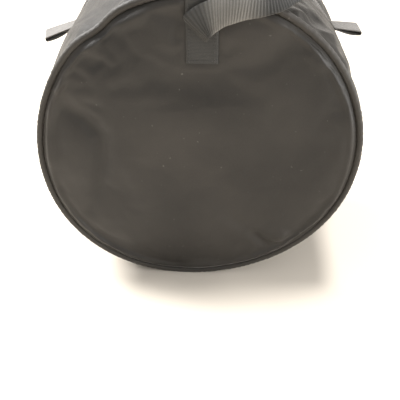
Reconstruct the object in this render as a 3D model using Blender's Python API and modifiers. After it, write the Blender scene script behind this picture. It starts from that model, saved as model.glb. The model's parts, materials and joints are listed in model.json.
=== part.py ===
"""Padded bag for a tom drum, lying on its side with its base panel to the front.

Metres. X is to the right, Y runs along the drum's axis from the base panel to the lid, Z is up.
The origin is on the floor, under the middle of the bag. A depth is measured along Y from the front
of the base rim, and an angle is measured round the drum's axis from the right, upwards.
"""

from math import acos, asin, atan2, cos, pi, radians, sin, sqrt

import bmesh
import bpy
from mathutils import Matrix, Vector

# Overall sizes of the bag
rim_radius = 0.210
wall_inset = 0.0035
zip_line_depth = 0.198
lid_depth = 0.072
ring_segments = 48

# Layers of the padded cloth, and the clearance between layers that are sewn together
nylon_thickness = 0.0012
foam_thickness = 0.009
lining_thickness = 0.001
layer_gap = 0.0003

# Welt in the rim seams
welt_diameter = 0.009
welt_sides = 8
welt_flange_length = 0.012
welt_flange_thickness = 0.001
panel_recess = 0.002

# Bias tape over the inner seams and round the mouth
binding_width = 0.012
binding_thickness = 0.0008
mouth_binding_width = 0.0012
foam_edge_setback = 0.002

# Zip tapes, beads, teeth and end stops
zip_opening_half_width = 0.008
zip_tape_half_width = 0.018
zip_tape_thickness = 0.001
zip_bead_half_gap = 0.0026
zip_bead_width = 0.0014
zip_tooth_thickness = 0.0026
zip_tooth_width = 0.0065
zip_tooth_clearance = 0.00035
tooth_tip_width_share = 0.72
zip_stop_length = 0.003
zip_stop_half_width = 0.004
zip_stop_rise = 0.0006
hinge_facets = 7

# Slider and its pull
slider_length = 0.016
slider_half_width = 0.0065
slider_plate_thickness = 0.0018
slider_lip_width = 0.0012
slider_lip_height = 0.0005
slider_clearance = 0.0004
inner_plate_thickness = 0.0012
bridge_width = 0.003
bridge_half_length = 0.0045
bridge_leg = 0.0015
bridge_thickness = 0.0012
bridge_chamfer = 0.0007
pull_wire = 0.0012
pull_ring_half_width = 0.0032
pull_ring_length = 0.0068
pull_tab_length = 0.028
pull_tab_width = 0.009
pull_tab_thickness = 0.002
upper_slider_angle = radians(-2)
lower_slider_angle = radians(-24)

# Carry handle of broad webbing, fallen over to the right, a little right of the middle
handle_offset = 0.007
webbing_width = 0.038
webbing_thickness = 0.0024
anchor_foot_height = 0.123
front_leg_depth = 0.034
rear_leg_setback = 0.055
handle_leg_length = 0.060
handle_droop = 0.022
handle_bend_steps = 12
handle_leg_steps = 5
rear_anchor_length = 0.064

# Webbing loops beside the zip
tab_angle = radians(30)
tab_setback = 0.022
tab_width = 0.025
tab_webbing_thickness = 0.0016
tab_layer_gap = 0.0008
tab_length = 0.044
tab_eye_length = 0.014
tab_eye_half_height = 0.0022
tab_droop = radians(24)
tab_patch_length = 0.045
tab_end_steps = 6

# Sizes that follow from the ones above
wall_radius = rim_radius - wall_inset
axis_height = wall_radius * cos(pi / ring_segments)
bag_depth = zip_line_depth + lid_depth
rear_leg_depth = zip_line_depth - rear_leg_setback
tab_depth = zip_line_depth - tab_setback
front_y = -bag_depth / 2
zip_y = front_y + zip_line_depth

nylon_inner_radius = wall_radius - nylon_thickness
foam_outer_radius = nylon_inner_radius - layer_gap
foam_inner_radius = foam_outer_radius - foam_thickness
lining_outer_radius = foam_inner_radius - layer_gap
lining_inner_radius = lining_outer_radius - lining_thickness
tape_outer_radius = nylon_inner_radius - layer_gap
tape_inner_radius = tape_outer_radius - zip_tape_thickness
foam_rebate_radius = tape_inner_radius - layer_gap

panel_radius = rim_radius - welt_diameter - layer_gap
panel_nylon_back = panel_recess + nylon_thickness
panel_foam_front = panel_nylon_back + layer_gap
panel_foam_back = panel_foam_front + foam_thickness
panel_lining_front = panel_foam_back + layer_gap
panel_lining_back = panel_lining_front + lining_thickness
flange_back = panel_foam_front + welt_flange_thickness
flange_inner_radius = panel_radius - welt_flange_length
wall_start = welt_diameter + layer_gap

tooth_middle_radius = (tape_outer_radius + tape_inner_radius) / 2
tooth_outer_radius = tooth_middle_radius + zip_tooth_thickness / 2
tooth_inner_radius = tooth_middle_radius - zip_tooth_thickness / 2
bead_outer_edge = zip_bead_half_gap + zip_bead_width
hinge_half_angle = pi * hinge_facets / ring_segments
zip_end = pi / 2 - hinge_half_angle
zip_start = pi / 2 + hinge_half_angle - 2 * pi
stop_angle = (zip_stop_length + 2 * layer_gap) / tooth_middle_radius

nylon_colour = (0.075, 0.066, 0.056)
foam_colour = (0.12, 0.12, 0.12)
lining_colour = (0.02, 0.02, 0.022)
webbing_colour = (0.16, 0.15, 0.13)
zip_colour = (0.015, 0.015, 0.015)
slider_colour = (0.09, 0.09, 0.09)


def clear_scene():
    """Leaves no object behind from an earlier run."""
    for old in list(bpy.data.objects):
        bpy.data.objects.remove(old, do_unlink=True)


def make_collection(name):
    """A new collection in the scene."""
    group = bpy.data.collections.new(name)
    bpy.context.scene.collection.children.link(group)
    return group


clear_scene()
bag = make_collection("tom_drum_bag")
helpers = make_collection("cutters_and_joined_shapes")


def finish(piece, colour, roughness, parent=None, metallic=0):
    """Gives a piece its own material, and hangs it on the empty that it moves with."""
    material = bpy.data.materials.new(piece.name)
    material.use_nodes = True
    shader = material.node_tree.nodes["Principled BSDF"]
    shader.inputs["Base Color"].default_value = (*colour, 1)
    shader.inputs["Roughness"].default_value = roughness
    shader.inputs["Metallic"].default_value = metallic
    piece.data.materials.append(material)
    piece.data.shade_smooth()
    piece.data.set_sharp_from_angle(angle=radians(30))
    if parent is not None:
        piece.parent = parent
        piece.matrix_parent_inverse = parent.matrix_world.inverted()
    return piece


def mesh_object(name, shape, group):
    """Turns a bmesh into an object."""
    data = bpy.data.meshes.new(name)
    shape.to_mesh(data)
    shape.free()
    piece = bpy.data.objects.new(name, data)
    group.objects.link(piece)
    return piece


def joint_empty(name, place, parent=None):
    """An empty on a joint's axis, which the moving pieces hang on."""
    empty = bpy.data.objects.new(name, None)
    bag.objects.link(empty)
    empty.location = place
    if parent is not None:
        empty.parent = parent
        empty.matrix_parent_inverse = parent.matrix_world.inverted()
    bpy.context.view_layer.update()
    return empty


def on_bag(angle, radius, depth):
    """The point at an angle and a radius round the drum's axis, and at a depth."""
    return Vector((radius * cos(angle), front_y + depth, axis_height + radius * sin(angle)))


def mirrored(profile):
    """A profile of (radius, depth) pairs, with its depths measured from the back of the lid."""
    return [(radius, bag_depth - depth) for radius, depth in profile]


def across_zip(profile):
    """A profile of (radius, depth) pairs, mirrored across the zip line."""
    return [(radius, 2 * zip_line_depth - depth) for radius, depth in profile]


def ring(inner, outer, start, end):
    """The profile of a plain ring."""
    return [(inner, start), (outer, start), (outer, end), (inner, end)]


def turned(name, profile, closed=True):
    """Turns a profile of (radius, depth) pairs round the drum's axis."""
    following = profile[1:] + profile[:1]
    doubled_area = sum(a[0] * b[1] - b[0] * a[1] for a, b in zip(profile, following))
    ordered = profile[::-1] if doubled_area > 0 else profile
    shape = bmesh.new()
    points = [shape.verts.new((radius, 0, depth)) for radius, depth in ordered]
    for a, b in zip(points, points[1:]):
        shape.edges.new((a, b))
    if closed:
        shape.edges.new((points[-1], points[0]))
    piece = mesh_object(name, shape, bag)
    place = Matrix.Translation((0, front_y, axis_height))
    flat_facet_down = Matrix.Rotation(pi / ring_segments, 4, "Z")
    piece.matrix_world = place @ Matrix.Rotation(-pi / 2, 4, "X") @ flat_facet_down
    turn = piece.modifiers.new("turn", "SCREW")
    turn.axis = "Z"
    turn.steps = ring_segments
    turn.render_steps = ring_segments
    turn.use_merge_vertices = True
    turn.merge_threshold = layer_gap / 10
    bpy.context.view_layer.update()
    return piece


def spun(profile, start, end, steps):
    """A bmesh that sweeps a filled profile of (radius, depth) pairs from one angle to another."""
    shape = bmesh.new()
    face = shape.faces.new([shape.verts.new(on_bag(start, radius, depth)) for radius, depth in profile])
    bmesh.ops.spin(
        shape,
        geom=[face, *face.edges, *face.verts],
        cent=Vector((0, 0, axis_height)),
        axis=(0, -1, 0),
        angle=end - start,
        steps=steps,
    )
    bmesh.ops.recalc_face_normals(shape, faces=shape.faces)
    return shape


def strap(name, middles, half_widths, thickness):
    """A strap through its middle points, with half its width as a vector at each."""
    shape = bmesh.new()
    rows = []
    for middle, half in zip(middles, half_widths):
        rows.append((shape.verts.new(middle - half), shape.verts.new(middle + half)))
    for (a, b), (d, c) in zip(rows, rows[1:]):
        shape.faces.new((a, b, c, d))
    piece = mesh_object(name, shape, bag)
    solid = piece.modifiers.new("thickness", "SOLIDIFY")
    solid.thickness = thickness
    solid.offset = 0
    solid.use_even_offset = True
    return piece


def prism(name, outline, push, group):
    """A flat outline of points, pushed along a vector."""
    shape = bmesh.new()
    face = shape.faces.new([shape.verts.new(point) for point in outline])
    pushed = bmesh.ops.extrude_face_region(shape, geom=[face])
    moved = [item for item in pushed["geom"] if isinstance(item, bmesh.types.BMVert)]
    bmesh.ops.translate(shape, verts=moved, vec=push)
    bmesh.ops.recalc_face_normals(shape, faces=shape.faces)
    return mesh_object(name, shape, group)


def block(name, low, high, group):
    """A box between two corners."""
    shape = bmesh.new()
    bmesh.ops.create_cube(shape, size=1)
    size = Vector(high) - Vector(low)
    bmesh.ops.scale(shape, vec=size, verts=shape.verts)
    bmesh.ops.translate(shape, vec=Vector(low) + size / 2, verts=shape.verts)
    return mesh_object(name, shape, group)


def combine(piece, other, operation):
    """Joins another shape to a piece or cuts it away, and hides the other shape."""
    other.hide_render = True
    other.display_type = "WIRE"
    step = piece.modifiers.new(operation.lower(), "BOOLEAN")
    step.operation = operation
    step.object = other
    step.solver = "EXACT"


def make_panel(prefix, place, parent=None):
    """One round end of the bag: nylon outside, foam, and lining inside."""
    nylon = [
        (0, panel_recess),
        (panel_radius, panel_recess),
        (panel_radius, panel_nylon_back),
        (0, panel_nylon_back),
    ]
    rebate_radius = flange_inner_radius - layer_gap
    rebate_depth = flange_back + layer_gap
    foam = [
        (0, panel_foam_front),
        (rebate_radius, panel_foam_front),
        (rebate_radius, rebate_depth),
        (lining_outer_radius, rebate_depth),
        (lining_outer_radius, panel_foam_back),
        (0, panel_foam_back),
    ]
    lining_radius = lining_inner_radius - layer_gap
    lining = [
        (0, panel_lining_front),
        (lining_radius, panel_lining_front),
        (lining_radius, panel_lining_back),
        (0, panel_lining_back),
    ]
    finish(turned(prefix + "_panel_outer", place(nylon), closed=False), nylon_colour, 0.55, parent)
    finish(turned(prefix + "_panel_foam", place(foam), closed=False), foam_colour, 0.9, parent)
    finish(turned(prefix + "_panel_lining", place(lining), closed=False), lining_colour, 0.8, parent)


def make_welt(name, place, parent=None):
    """The welt in a rim seam: a covered cord whose flange is sewn in behind the panel."""
    cord_radius = welt_diameter / 2
    centre_radius = rim_radius - cord_radius
    first = pi + asin((cord_radius - panel_foam_front) / cord_radius)
    last = 3 * pi + asin((cord_radius - flange_back) / cord_radius)
    outline = []
    for step in range(welt_sides + 1):
        angle = first + (last - first) * step / welt_sides
        outline.append((centre_radius + cord_radius * cos(angle), cord_radius + cord_radius * sin(angle)))
    outline += [(flange_inner_radius, flange_back), (flange_inner_radius, panel_foam_front)]
    piece = turned(name, place(outline))
    low = (-rim_radius, -bag_depth, -rim_radius)
    high = (rim_radius, bag_depth, 0)
    combine(piece, block(name + "_floor_cut", low, high, helpers), "DIFFERENCE")
    finish(piece, nylon_colour, 0.5, parent)


def make_seam_binding(name, place, parent=None):
    """Bias tape folded over the seam in an inner corner."""
    outer = lining_inner_radius - layer_gap
    start = panel_lining_back + layer_gap
    outline = [
        (outer, start),
        (outer, start + binding_width),
        (outer - binding_thickness, start + binding_width),
        (outer - binding_thickness, start + binding_thickness),
        (outer - binding_width, start + binding_thickness),
        (outer - binding_width, start),
    ]
    finish(turned(name, place(outline)), lining_colour, 0.7, parent)


def make_wall(prefix, start_depth, place, parent=None):
    """The round wall of the bag, or the lid's, from its rim seam to the zip opening."""
    nylon_end = zip_line_depth - zip_opening_half_width
    foam_end = nylon_end - foam_edge_setback
    rebate_start = zip_line_depth - zip_tape_half_width - layer_gap
    nylon = ring(nylon_inner_radius, wall_radius, start_depth + wall_start, nylon_end)
    foam = [
        (foam_inner_radius, start_depth + wall_start),
        (foam_outer_radius, start_depth + wall_start),
        (foam_outer_radius, rebate_start),
        (foam_rebate_radius, rebate_start),
        (foam_rebate_radius, foam_end),
        (foam_inner_radius, foam_end),
    ]
    lining_start = start_depth + panel_lining_front
    lining = ring(lining_inner_radius, lining_outer_radius, lining_start, foam_end)
    binding_start = foam_end + layer_gap
    binding_end = binding_start + mouth_binding_width
    binding = ring(lining_inner_radius, foam_rebate_radius, binding_start, binding_end)
    finish(turned(prefix + "_outer", place(nylon)), nylon_colour, 0.55, parent)
    finish(turned(prefix + "_foam", place(foam)), foam_colour, 0.9, parent)
    finish(turned(prefix + "_lining", place(lining)), lining_colour, 0.8, parent)
    finish(turned(prefix + "_mouth_binding", place(binding)), lining_colour, 0.7, parent)


def make_hinge_flap(name, place, parent=None):
    """Half of the plain nylon, without foam, that the lid hangs on over the top."""
    start = zip_line_depth - zip_opening_half_width + layer_gap
    end = zip_line_depth - layer_gap / 2
    outline = ring(nylon_inner_radius, wall_radius, start, end)
    clear = layer_gap / wall_radius
    shape = spun(place(outline), zip_end + clear, pi - zip_end - clear, hinge_facets)
    finish(mesh_object(name, shape, bag), nylon_colour, 0.55, parent)


def make_zip_tape(name, place, parent=None):
    """One woven tape of the zip, sewn in under the edge of the nylon."""
    start = zip_line_depth - zip_tape_half_width
    end = zip_line_depth - bead_outer_edge - layer_gap
    outline = ring(tape_inner_radius, tape_outer_radius, start, end)
    shape = spun(place(outline), zip_start, zip_end, ring_segments - hinge_facets)
    finish(mesh_object(name, shape, bag), zip_colour, 0.7, parent)


def make_zip_teeth(name, place, towards_zip, first_tooth, parent=None):
    """One side's row of teeth, moulded on the bead of its tape, that mesh with the other side's."""
    inner_edge = zip_line_depth - zip_bead_half_gap
    outline = [
        (tooth_outer_radius, inner_edge),
        (tooth_inner_radius, inner_edge),
        (tooth_middle_radius, inner_edge - zip_bead_width),
    ]
    start = zip_start + stop_angle
    end = zip_end - stop_angle
    steps = round((end - start) * tooth_middle_radius / zip_tooth_width)
    shape = spun(place(outline), start, end, steps)
    reach = Vector((0, towards_zip * (2 * zip_bead_half_gap - zip_tooth_clearance), 0))
    edge_y = front_y + place(outline)[0][1]
    centre = Vector((0, edge_y, axis_height))

    def faces_the_zip(face):
        return all(abs(vertex.co.y - edge_y) < layer_gap for vertex in face.verts)

    def step_number(face):
        middle = face.calc_center_median() - centre
        turned_by = (atan2(middle.z, middle.x) - start) % (2 * pi)
        return int(turned_by / (end - start) * steps)

    facing = sorted((face for face in shape.faces if faces_the_zip(face)), key=step_number)
    roots = facing[first_tooth : steps - 1 : 2]
    tips = bmesh.ops.extrude_discrete_faces(shape, faces=roots)["faces"]
    for tip in tips:
        middle = tip.calc_center_median()
        spoke = (middle - centre).normalized()
        along = Vector((-spoke.z, 0, spoke.x))
        for vertex in tip.verts:
            across = (vertex.co - middle).dot(along)
            vertex.co += reach - along * across * (1 - tooth_tip_width_share)
    bmesh.ops.recalc_face_normals(shape, faces=shape.faces)
    finish(mesh_object(name, shape, bag), zip_colour, 0.4, parent)


def make_zip_stop(name, start):
    """A moulded stop across the end of the zip."""
    outline = ring(
        tooth_inner_radius - zip_stop_rise,
        tooth_outer_radius + zip_stop_rise,
        zip_line_depth - zip_stop_half_width,
        zip_line_depth + zip_stop_half_width,
    )
    shape = spun(outline, start, start + zip_stop_length / tooth_middle_radius, 1)
    finish(mesh_object(name, shape, bag), zip_colour, 0.4)


def on_slider(angle):
    """Where a slider sits: X runs out from the drum's axis, and Z runs along the zip."""
    return Matrix.Translation((0, zip_y, axis_height)) @ Matrix.Rotation(-angle, 4, "Y")


slider_lip_radius = tooth_outer_radius + slider_clearance
slider_plate_radius = slider_lip_radius + slider_lip_height
slider_top_radius = slider_plate_radius + slider_plate_thickness
wire_corner = pull_wire / sqrt(2)
pull_pin_radius = slider_top_radius + layer_gap + wire_corner
bridge_inner_radius = pull_pin_radius + wire_corner + layer_gap
bridge_outer_radius = bridge_inner_radius + bridge_thickness

# The slider's plate seen from above, wide at the nose and narrow at the tail
slider_width_shares = (0.55, 1, 1, 0.74, 0.74, 0.5)
slider_length_shares = (1, 0.6, 0.05, -0.4, -0.85, -1)
slider_lip_length_share = 0.78


def slider_outline(radius, nose):
    """The slider's outline at one height over the zip."""
    half_length = slider_length / 2
    right = []
    for width_share, length_share in zip(slider_width_shares, slider_length_shares):
        right.append((slider_half_width * width_share, nose * half_length * length_share))
    left = [(-across, along) for across, along in reversed(right)]
    return [Vector((radius, across, along)) for across, along in right + left]


def make_slider(name, angle, nose, parent):
    """A slider's outer plate, with its lips and the bridge that carries the pull."""
    plate = prism(
        name, slider_outline(slider_plate_radius, nose), Vector((slider_plate_thickness, 0, 0)), bag
    )
    joined = []
    tail_half_width = slider_half_width * slider_width_shares[3] - layer_gap
    lip_end = slider_length / 2 * slider_lip_length_share
    overlap = slider_plate_thickness / 2
    for side in (-1, 1):
        edges = sorted((side * tail_half_width, side * (tail_half_width - slider_lip_width)))
        low = (slider_lip_radius, edges[0], -lip_end)
        high = (slider_plate_radius + overlap, edges[1], lip_end)
        side_name = "left" if side < 0 else "right"
        joined.append(block(name + "_lip_" + side_name, low, high, helpers))
    foot = slider_top_radius - overlap
    outer = bridge_half_length
    inner = bridge_half_length - bridge_leg
    arch = [
        (foot, -outer),
        (bridge_outer_radius - bridge_chamfer, -outer),
        (bridge_outer_radius, -outer + bridge_chamfer),
        (bridge_outer_radius, outer - bridge_chamfer),
        (bridge_outer_radius - bridge_chamfer, outer),
        (foot, outer),
        (foot, inner),
        (bridge_inner_radius, inner),
        (bridge_inner_radius, -inner),
        (foot, -inner),
    ]
    points = [Vector((radius, -bridge_width / 2, along)) for radius, along in arch]
    joined.append(prism(name + "_bridge", points, Vector((0, bridge_width, 0)), helpers))
    for shape in [plate, *joined]:
        shape.data.transform(on_slider(angle))
    for shape in joined:
        combine(plate, shape, "UNION")
    finish(plate, slider_colour, 0.35, parent, metallic=1)


def make_inner_plate(name, angle, nose, parent):
    """The slider's other plate, which runs behind the teeth."""
    radius = tooth_inner_radius - slider_clearance - inner_plate_thickness
    plate = prism(name, slider_outline(radius, nose), Vector((inner_plate_thickness, 0, 0)), bag)
    plate.data.transform(on_slider(angle))
    finish(plate, slider_colour, 0.35, parent, metallic=1)


def make_pull(name, pin, parent):
    """A pull that hangs from the bridge: a wire ring, and a moulded tab with a round end."""
    half_wire = pull_wire / 2
    ring_low = (-half_wire, -pull_ring_half_width, -pull_ring_length)
    ring_high = (half_wire, pull_ring_half_width, half_wire)
    pull = block(name, ring_low, ring_high, bag)
    hole_half = pull_ring_half_width - pull_wire
    hole_low = (-pull_wire, -hole_half, -pull_ring_length + pull_wire)
    hole_high = (pull_wire, hole_half, -half_wire)
    hole = block(name + "_hole", hole_low, hole_high, helpers)
    half_width = pull_tab_width / 2
    start = -pull_ring_length + pull_wire / 2
    centre = start - pull_tab_length + half_width
    outline = [(pull_ring_half_width, start), (-pull_ring_half_width, start)]
    outline.append((-half_width, start - half_width))
    for step in range(tab_end_steps + 1):
        angle = pi + pi * step / tab_end_steps
        outline.append((half_width * cos(angle), centre + half_width * sin(angle)))
    outline.append((half_width, start - half_width))
    points = [Vector((-pull_tab_thickness / 2, across, along)) for across, along in outline]
    tab = prism(name + "_tab", points, Vector((pull_tab_thickness, 0, 0)), helpers)
    for shape in (pull, hole, tab):
        shape.data.transform(Matrix.Translation(pin))
    combine(pull, hole, "DIFFERENCE")
    combine(pull, tab, "UNION")
    finish(pull, slider_colour, 0.45, parent)


def make_slider_set(name, angle, nose):
    """A slider, its inner plate and its pull, on their two joint axes."""
    zip_axis = joint_empty(name + "_slider_axis", (0, zip_y, axis_height))
    make_slider(name + "_slider", angle, nose, zip_axis)
    make_inner_plate(name + "_slider_inner_plate", angle, nose, zip_axis)
    pin = on_slider(angle) @ Vector((pull_pin_radius, 0, 0))
    make_pull(name + "_pull", pin, joint_empty(name + "_pull_pin", pin, zip_axis))


strap_lift = layer_gap + webbing_thickness / 2
handle_axis_x = handle_offset + webbing_width / 2 + layer_gap
handle_axis_rise = wall_radius + 2 * strap_lift + webbing_thickness / 2


def make_front_anchor():
    """The handle's front end, sewn to the base panel and brought up over the rim."""
    cord_radius = welt_diameter / 2
    cord_height = rim_radius - cord_radius
    bend = (cord_radius + strap_lift) / cos(pi / 8)
    on_panel = panel_recess - strap_lift
    below_welt = cord_height - 2 * cord_radius
    path = [(on_panel, anchor_foot_height), (on_panel, below_welt)]
    for quarter_turns in (2, 1.5, 1, 0.5):
        angle = quarter_turns * pi / 2
        path.append((cord_radius + bend * cos(angle), cord_height + bend * sin(angle)))
    on_wall = wall_radius + strap_lift
    path.append((wall_start + webbing_thickness + strap_lift, on_wall))
    path.append((front_leg_depth + webbing_width / 2, on_wall))
    middles = []
    for depth, height in path:
        middles.append(Vector((handle_offset, front_y + depth, axis_height + height)))
    half = Vector((webbing_width / 2, 0, 0))
    piece = strap("handle_front_anchor", middles, [half] * len(middles), webbing_thickness)
    finish(piece, webbing_colour, 0.6)


def make_rear_anchor():
    """The handle's rear end, sewn along the top of the wall."""
    inner = wall_radius + layer_gap
    low = rear_leg_depth - webbing_width / 2
    outline = ring(inner, inner + webbing_thickness, low, low + webbing_width)
    right = acos((handle_offset + webbing_width / 2) / inner)
    left = right + rear_anchor_length / inner
    shape = spun(outline, right, left, handle_leg_steps)
    finish(mesh_object("handle_rear_anchor", shape, bag), webbing_colour, 0.6)


def make_handle():
    """The free part of the handle, a band in a wide bend that stands off the wall and droops a little."""
    middle_depth = (front_leg_depth + rear_leg_depth) / 2
    bend_radius = (rear_leg_depth - front_leg_depth) / 2
    reach = handle_leg_length + bend_radius
    route = []
    for step in range(handle_leg_steps):
        route.append((handle_leg_length * step / handle_leg_steps, front_leg_depth, 0))
    for step in range(handle_bend_steps + 1):
        turn = pi * step / handle_bend_steps
        along = handle_leg_length + bend_radius * sin(turn)
        route.append((along, middle_depth - bend_radius * cos(turn), turn))
    for step in range(handle_leg_steps):
        share_left = (handle_leg_steps - 1 - step) / handle_leg_steps
        route.append((handle_leg_length * share_left, rear_leg_depth, pi))
    middles = []
    half_widths = []
    for along, depth, turn in route:
        drop = handle_droop * (along / reach) ** 2
        slope = 2 * handle_droop * along / reach ** 2
        height = axis_height + handle_axis_rise - drop
        middles.append(Vector((handle_axis_x + along, front_y + depth, height)))
        outwards = Vector((1, 0, -slope)).normalized()
        across = Vector((0, 1, 0)) * cos(turn) - outwards * sin(turn)
        half_widths.append(across * webbing_width / 2)
    axis = joint_empty(
        "handle_axis", (handle_axis_x, front_y + middle_depth, axis_height + handle_axis_rise)
    )
    finish(strap("carry_handle", middles, half_widths, webbing_thickness), webbing_colour, 0.6, axis)


tab_half_layers = (tab_layer_gap + tab_webbing_thickness) / 2
tab_root_tail = tab_webbing_thickness / 2
tab_root_rise = tab_half_layers + tab_webbing_thickness / 2 + layer_gap


def make_side_tab(side_name, side):
    """A doubled loop of webbing beside the zip, and the patch on the wall that holds it."""
    angle = tab_angle if side > 0 else pi - tab_angle
    root = on_bag(angle, wall_radius + tab_root_rise, tab_depth)
    outwards = Vector((side * cos(tab_droop), 0, -sin(tab_droop)))
    upwards = Vector((side * sin(tab_droop), 0, cos(tab_droop)))
    end_centre = tab_length - tab_eye_half_height - tab_webbing_thickness / 2
    loop = [(-tab_root_tail, -tab_half_layers), (tab_length - tab_eye_length, -tab_half_layers)]
    for step in range(tab_end_steps + 1):
        turn = -pi / 2 + pi * step / tab_end_steps
        reach = end_centre + tab_eye_half_height * cos(turn)
        loop.append((reach, tab_eye_half_height * sin(turn)))
    loop += [(tab_length - tab_eye_length, tab_half_layers), (-tab_root_tail, tab_half_layers)]
    middles = [root + outwards * along + upwards * rise for along, rise in loop]
    half = Vector((0, tab_width / 2, 0))
    axis = joint_empty("side_tab_root_" + side_name, root)
    piece = strap("side_tab_" + side_name, middles, [half] * len(middles), tab_webbing_thickness)
    finish(piece, webbing_colour, 0.6, axis)
    inner = wall_radius + layer_gap
    low = tab_depth - tab_width / 2
    outline = ring(inner, inner + tab_webbing_thickness, low, low + tab_width)
    near = angle + side * (tab_root_rise + layer_gap) / wall_radius
    far = near + side * tab_patch_length / wall_radius
    shape = spun(outline, near, far, handle_leg_steps)
    finish(mesh_object("side_tab_patch_" + side_name, shape, bag), webbing_colour, 0.6)


def as_drawn(profile):
    """A profile that needs no mirroring."""
    return profile


make_panel("base", as_drawn)
make_welt("base_welt", as_drawn)
make_seam_binding("base_seam_binding", as_drawn)
make_wall("wall", 0, as_drawn)
make_hinge_flap("wall_hinge_flap", as_drawn)
make_zip_tape("zip_tape_wall", as_drawn)
make_zip_teeth("zip_teeth_wall", as_drawn, 1, 1)
make_zip_stop("zip_stop_left", zip_start + layer_gap / tooth_middle_radius)
make_zip_stop("zip_stop_right", zip_end - stop_angle + layer_gap / tooth_middle_radius)

lid_axis = joint_empty("lid_hinge_axis", (0, zip_y, axis_height + wall_radius + layer_gap))
make_panel("lid", mirrored, lid_axis)
make_welt("lid_welt", mirrored, lid_axis)
make_seam_binding("lid_seam_binding", mirrored, lid_axis)
make_wall("gusset", zip_line_depth - lid_depth, across_zip, lid_axis)
make_hinge_flap("lid_hinge_flap", across_zip, lid_axis)
make_zip_tape("zip_tape_lid", across_zip, lid_axis)
make_zip_teeth("zip_teeth_lid", across_zip, -1, 2, lid_axis)

make_slider_set("upper", upper_slider_angle, 1)
make_slider_set("lower", lower_slider_angle, -1)
make_front_anchor()
make_rear_anchor()
make_handle()
make_side_tab("right", 1)
make_side_tab("left", -1)
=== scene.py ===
"""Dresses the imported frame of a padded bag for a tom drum: cloth, welts, webbing, lining, zip and stitches.

Metres, in the frame's own axes: X to the right, Y along the drum's axis from the base panel to the lid, Z up.
"""

import json
from math import atan2, cos, hypot, pi, radians, sin, tau

import bmesh
import bpy
import numpy as np
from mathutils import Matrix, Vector, noise
from mathutils.bvhtree import BVHTree


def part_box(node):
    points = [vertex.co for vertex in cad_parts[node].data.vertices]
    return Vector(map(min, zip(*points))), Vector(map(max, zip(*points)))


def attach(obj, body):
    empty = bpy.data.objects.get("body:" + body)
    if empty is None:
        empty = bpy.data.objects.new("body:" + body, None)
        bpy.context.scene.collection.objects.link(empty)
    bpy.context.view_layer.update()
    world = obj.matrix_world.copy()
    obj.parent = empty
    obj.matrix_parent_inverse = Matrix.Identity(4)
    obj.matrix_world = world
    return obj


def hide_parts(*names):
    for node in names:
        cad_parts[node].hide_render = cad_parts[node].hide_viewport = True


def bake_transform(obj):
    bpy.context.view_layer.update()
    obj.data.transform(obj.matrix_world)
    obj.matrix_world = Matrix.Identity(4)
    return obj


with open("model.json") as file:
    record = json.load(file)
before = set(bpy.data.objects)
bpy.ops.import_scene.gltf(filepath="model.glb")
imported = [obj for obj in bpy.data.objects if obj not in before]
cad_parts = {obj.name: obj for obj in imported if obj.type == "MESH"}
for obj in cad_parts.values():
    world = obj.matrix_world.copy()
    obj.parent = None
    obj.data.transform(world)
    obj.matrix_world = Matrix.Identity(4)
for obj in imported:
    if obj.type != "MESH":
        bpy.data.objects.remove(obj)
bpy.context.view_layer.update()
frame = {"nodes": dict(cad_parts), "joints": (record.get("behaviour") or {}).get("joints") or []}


# The stage: a pale warm floor under a soft sun, a large lamp behind the left side, two on the right and a faint
# one in front on the left. The camera stands close to the bag and looks down on its base panel.
wall_low, wall_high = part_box("wall_outer")
base_centre = Vector((0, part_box("base_welt")[0].y, (wall_low.z + wall_high.z) / 2))
camera_lens = 57.8
camera_from_base = Vector((0.0378, -0.7035, 0.4339))
camera_direction = Vector((-0.0382, 0.8102, -0.585))
sun_place = Vector((0.24, 0.16, 2.7))
sun_spread = radians(12)
sun_strength = 3.3
side_lamp_size = 1.4
sky_strength = 0.6
floor_half_size = 8
floor_colour = (0.66, 0.60, 0.52, 1)

# Each side lamp's place and its power in watts.
side_lamps = {
    "left_lamp": (Vector((-1.7, 0.9, 1.9)), 200),
    "right_lamp": (Vector((2.4, 0.2, 0.55)), 46),
    "front_lamp": (Vector((1.9, -0.8, 0.45)), 34),
    "grazing_lamp": (Vector((-2.0, -0.6, 0.85)), 3),
}


def aimed(name, data, place, direction):
    """Puts the camera or a lamp at a place, looking in a direction."""
    held = bpy.data.objects.new(name, data)
    held.location = place
    held.rotation_euler = direction.to_track_quat("-Z", "Y").to_euler()
    bpy.context.scene.collection.objects.link(held)
    return held


camera = bpy.data.cameras.new("camera")
camera.lens = camera_lens
bpy.context.scene.camera = aimed("camera", camera, base_centre + camera_from_base, camera_direction)
bpy.context.scene.view_settings.view_transform = "Standard"

sun = bpy.data.lights.new("soft_lamp", "SUN")
sun.angle = sun_spread
sun.energy = sun_strength
aimed("soft_lamp", sun, sun_place, base_centre - sun_place)
for name, (place, power) in side_lamps.items():
    side_lamp = bpy.data.lights.new(name, "AREA")
    side_lamp.size = side_lamp_size
    side_lamp.energy = power
    aimed(name, side_lamp, place, base_centre - place)


class Signal:
    """What one node of a tree gives out. Sums are made with it as with a number, and each sum is a node."""

    def __init__(self, tree, socket):
        self.tree = tree
        self.socket = socket

    def maths(self, operation, other=0.0):
        """The answer of one sum with another signal or a number."""
        return add(self.tree, "ShaderNodeMath", {0: self, 1: other}, operation=operation)[0]

    def __add__(self, other):
        return self.maths("ADD", other)

    def __sub__(self, other):
        return self.maths("SUBTRACT", other)

    def __mul__(self, other):
        return self.maths("MULTIPLY", other)

    def __rtruediv__(self, number):
        return add(self.tree, "ShaderNodeMath", {0: number, 1: self}, operation="DIVIDE")[0]


def feed(tree, sockets, values):
    """Gives inputs their values, which are numbers, colours or signals."""
    for key, value in values.items():
        if isinstance(value, Signal):
            tree.links.new(value.socket, sockets[key])
        else:
            sockets[key].default_value = value


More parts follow.
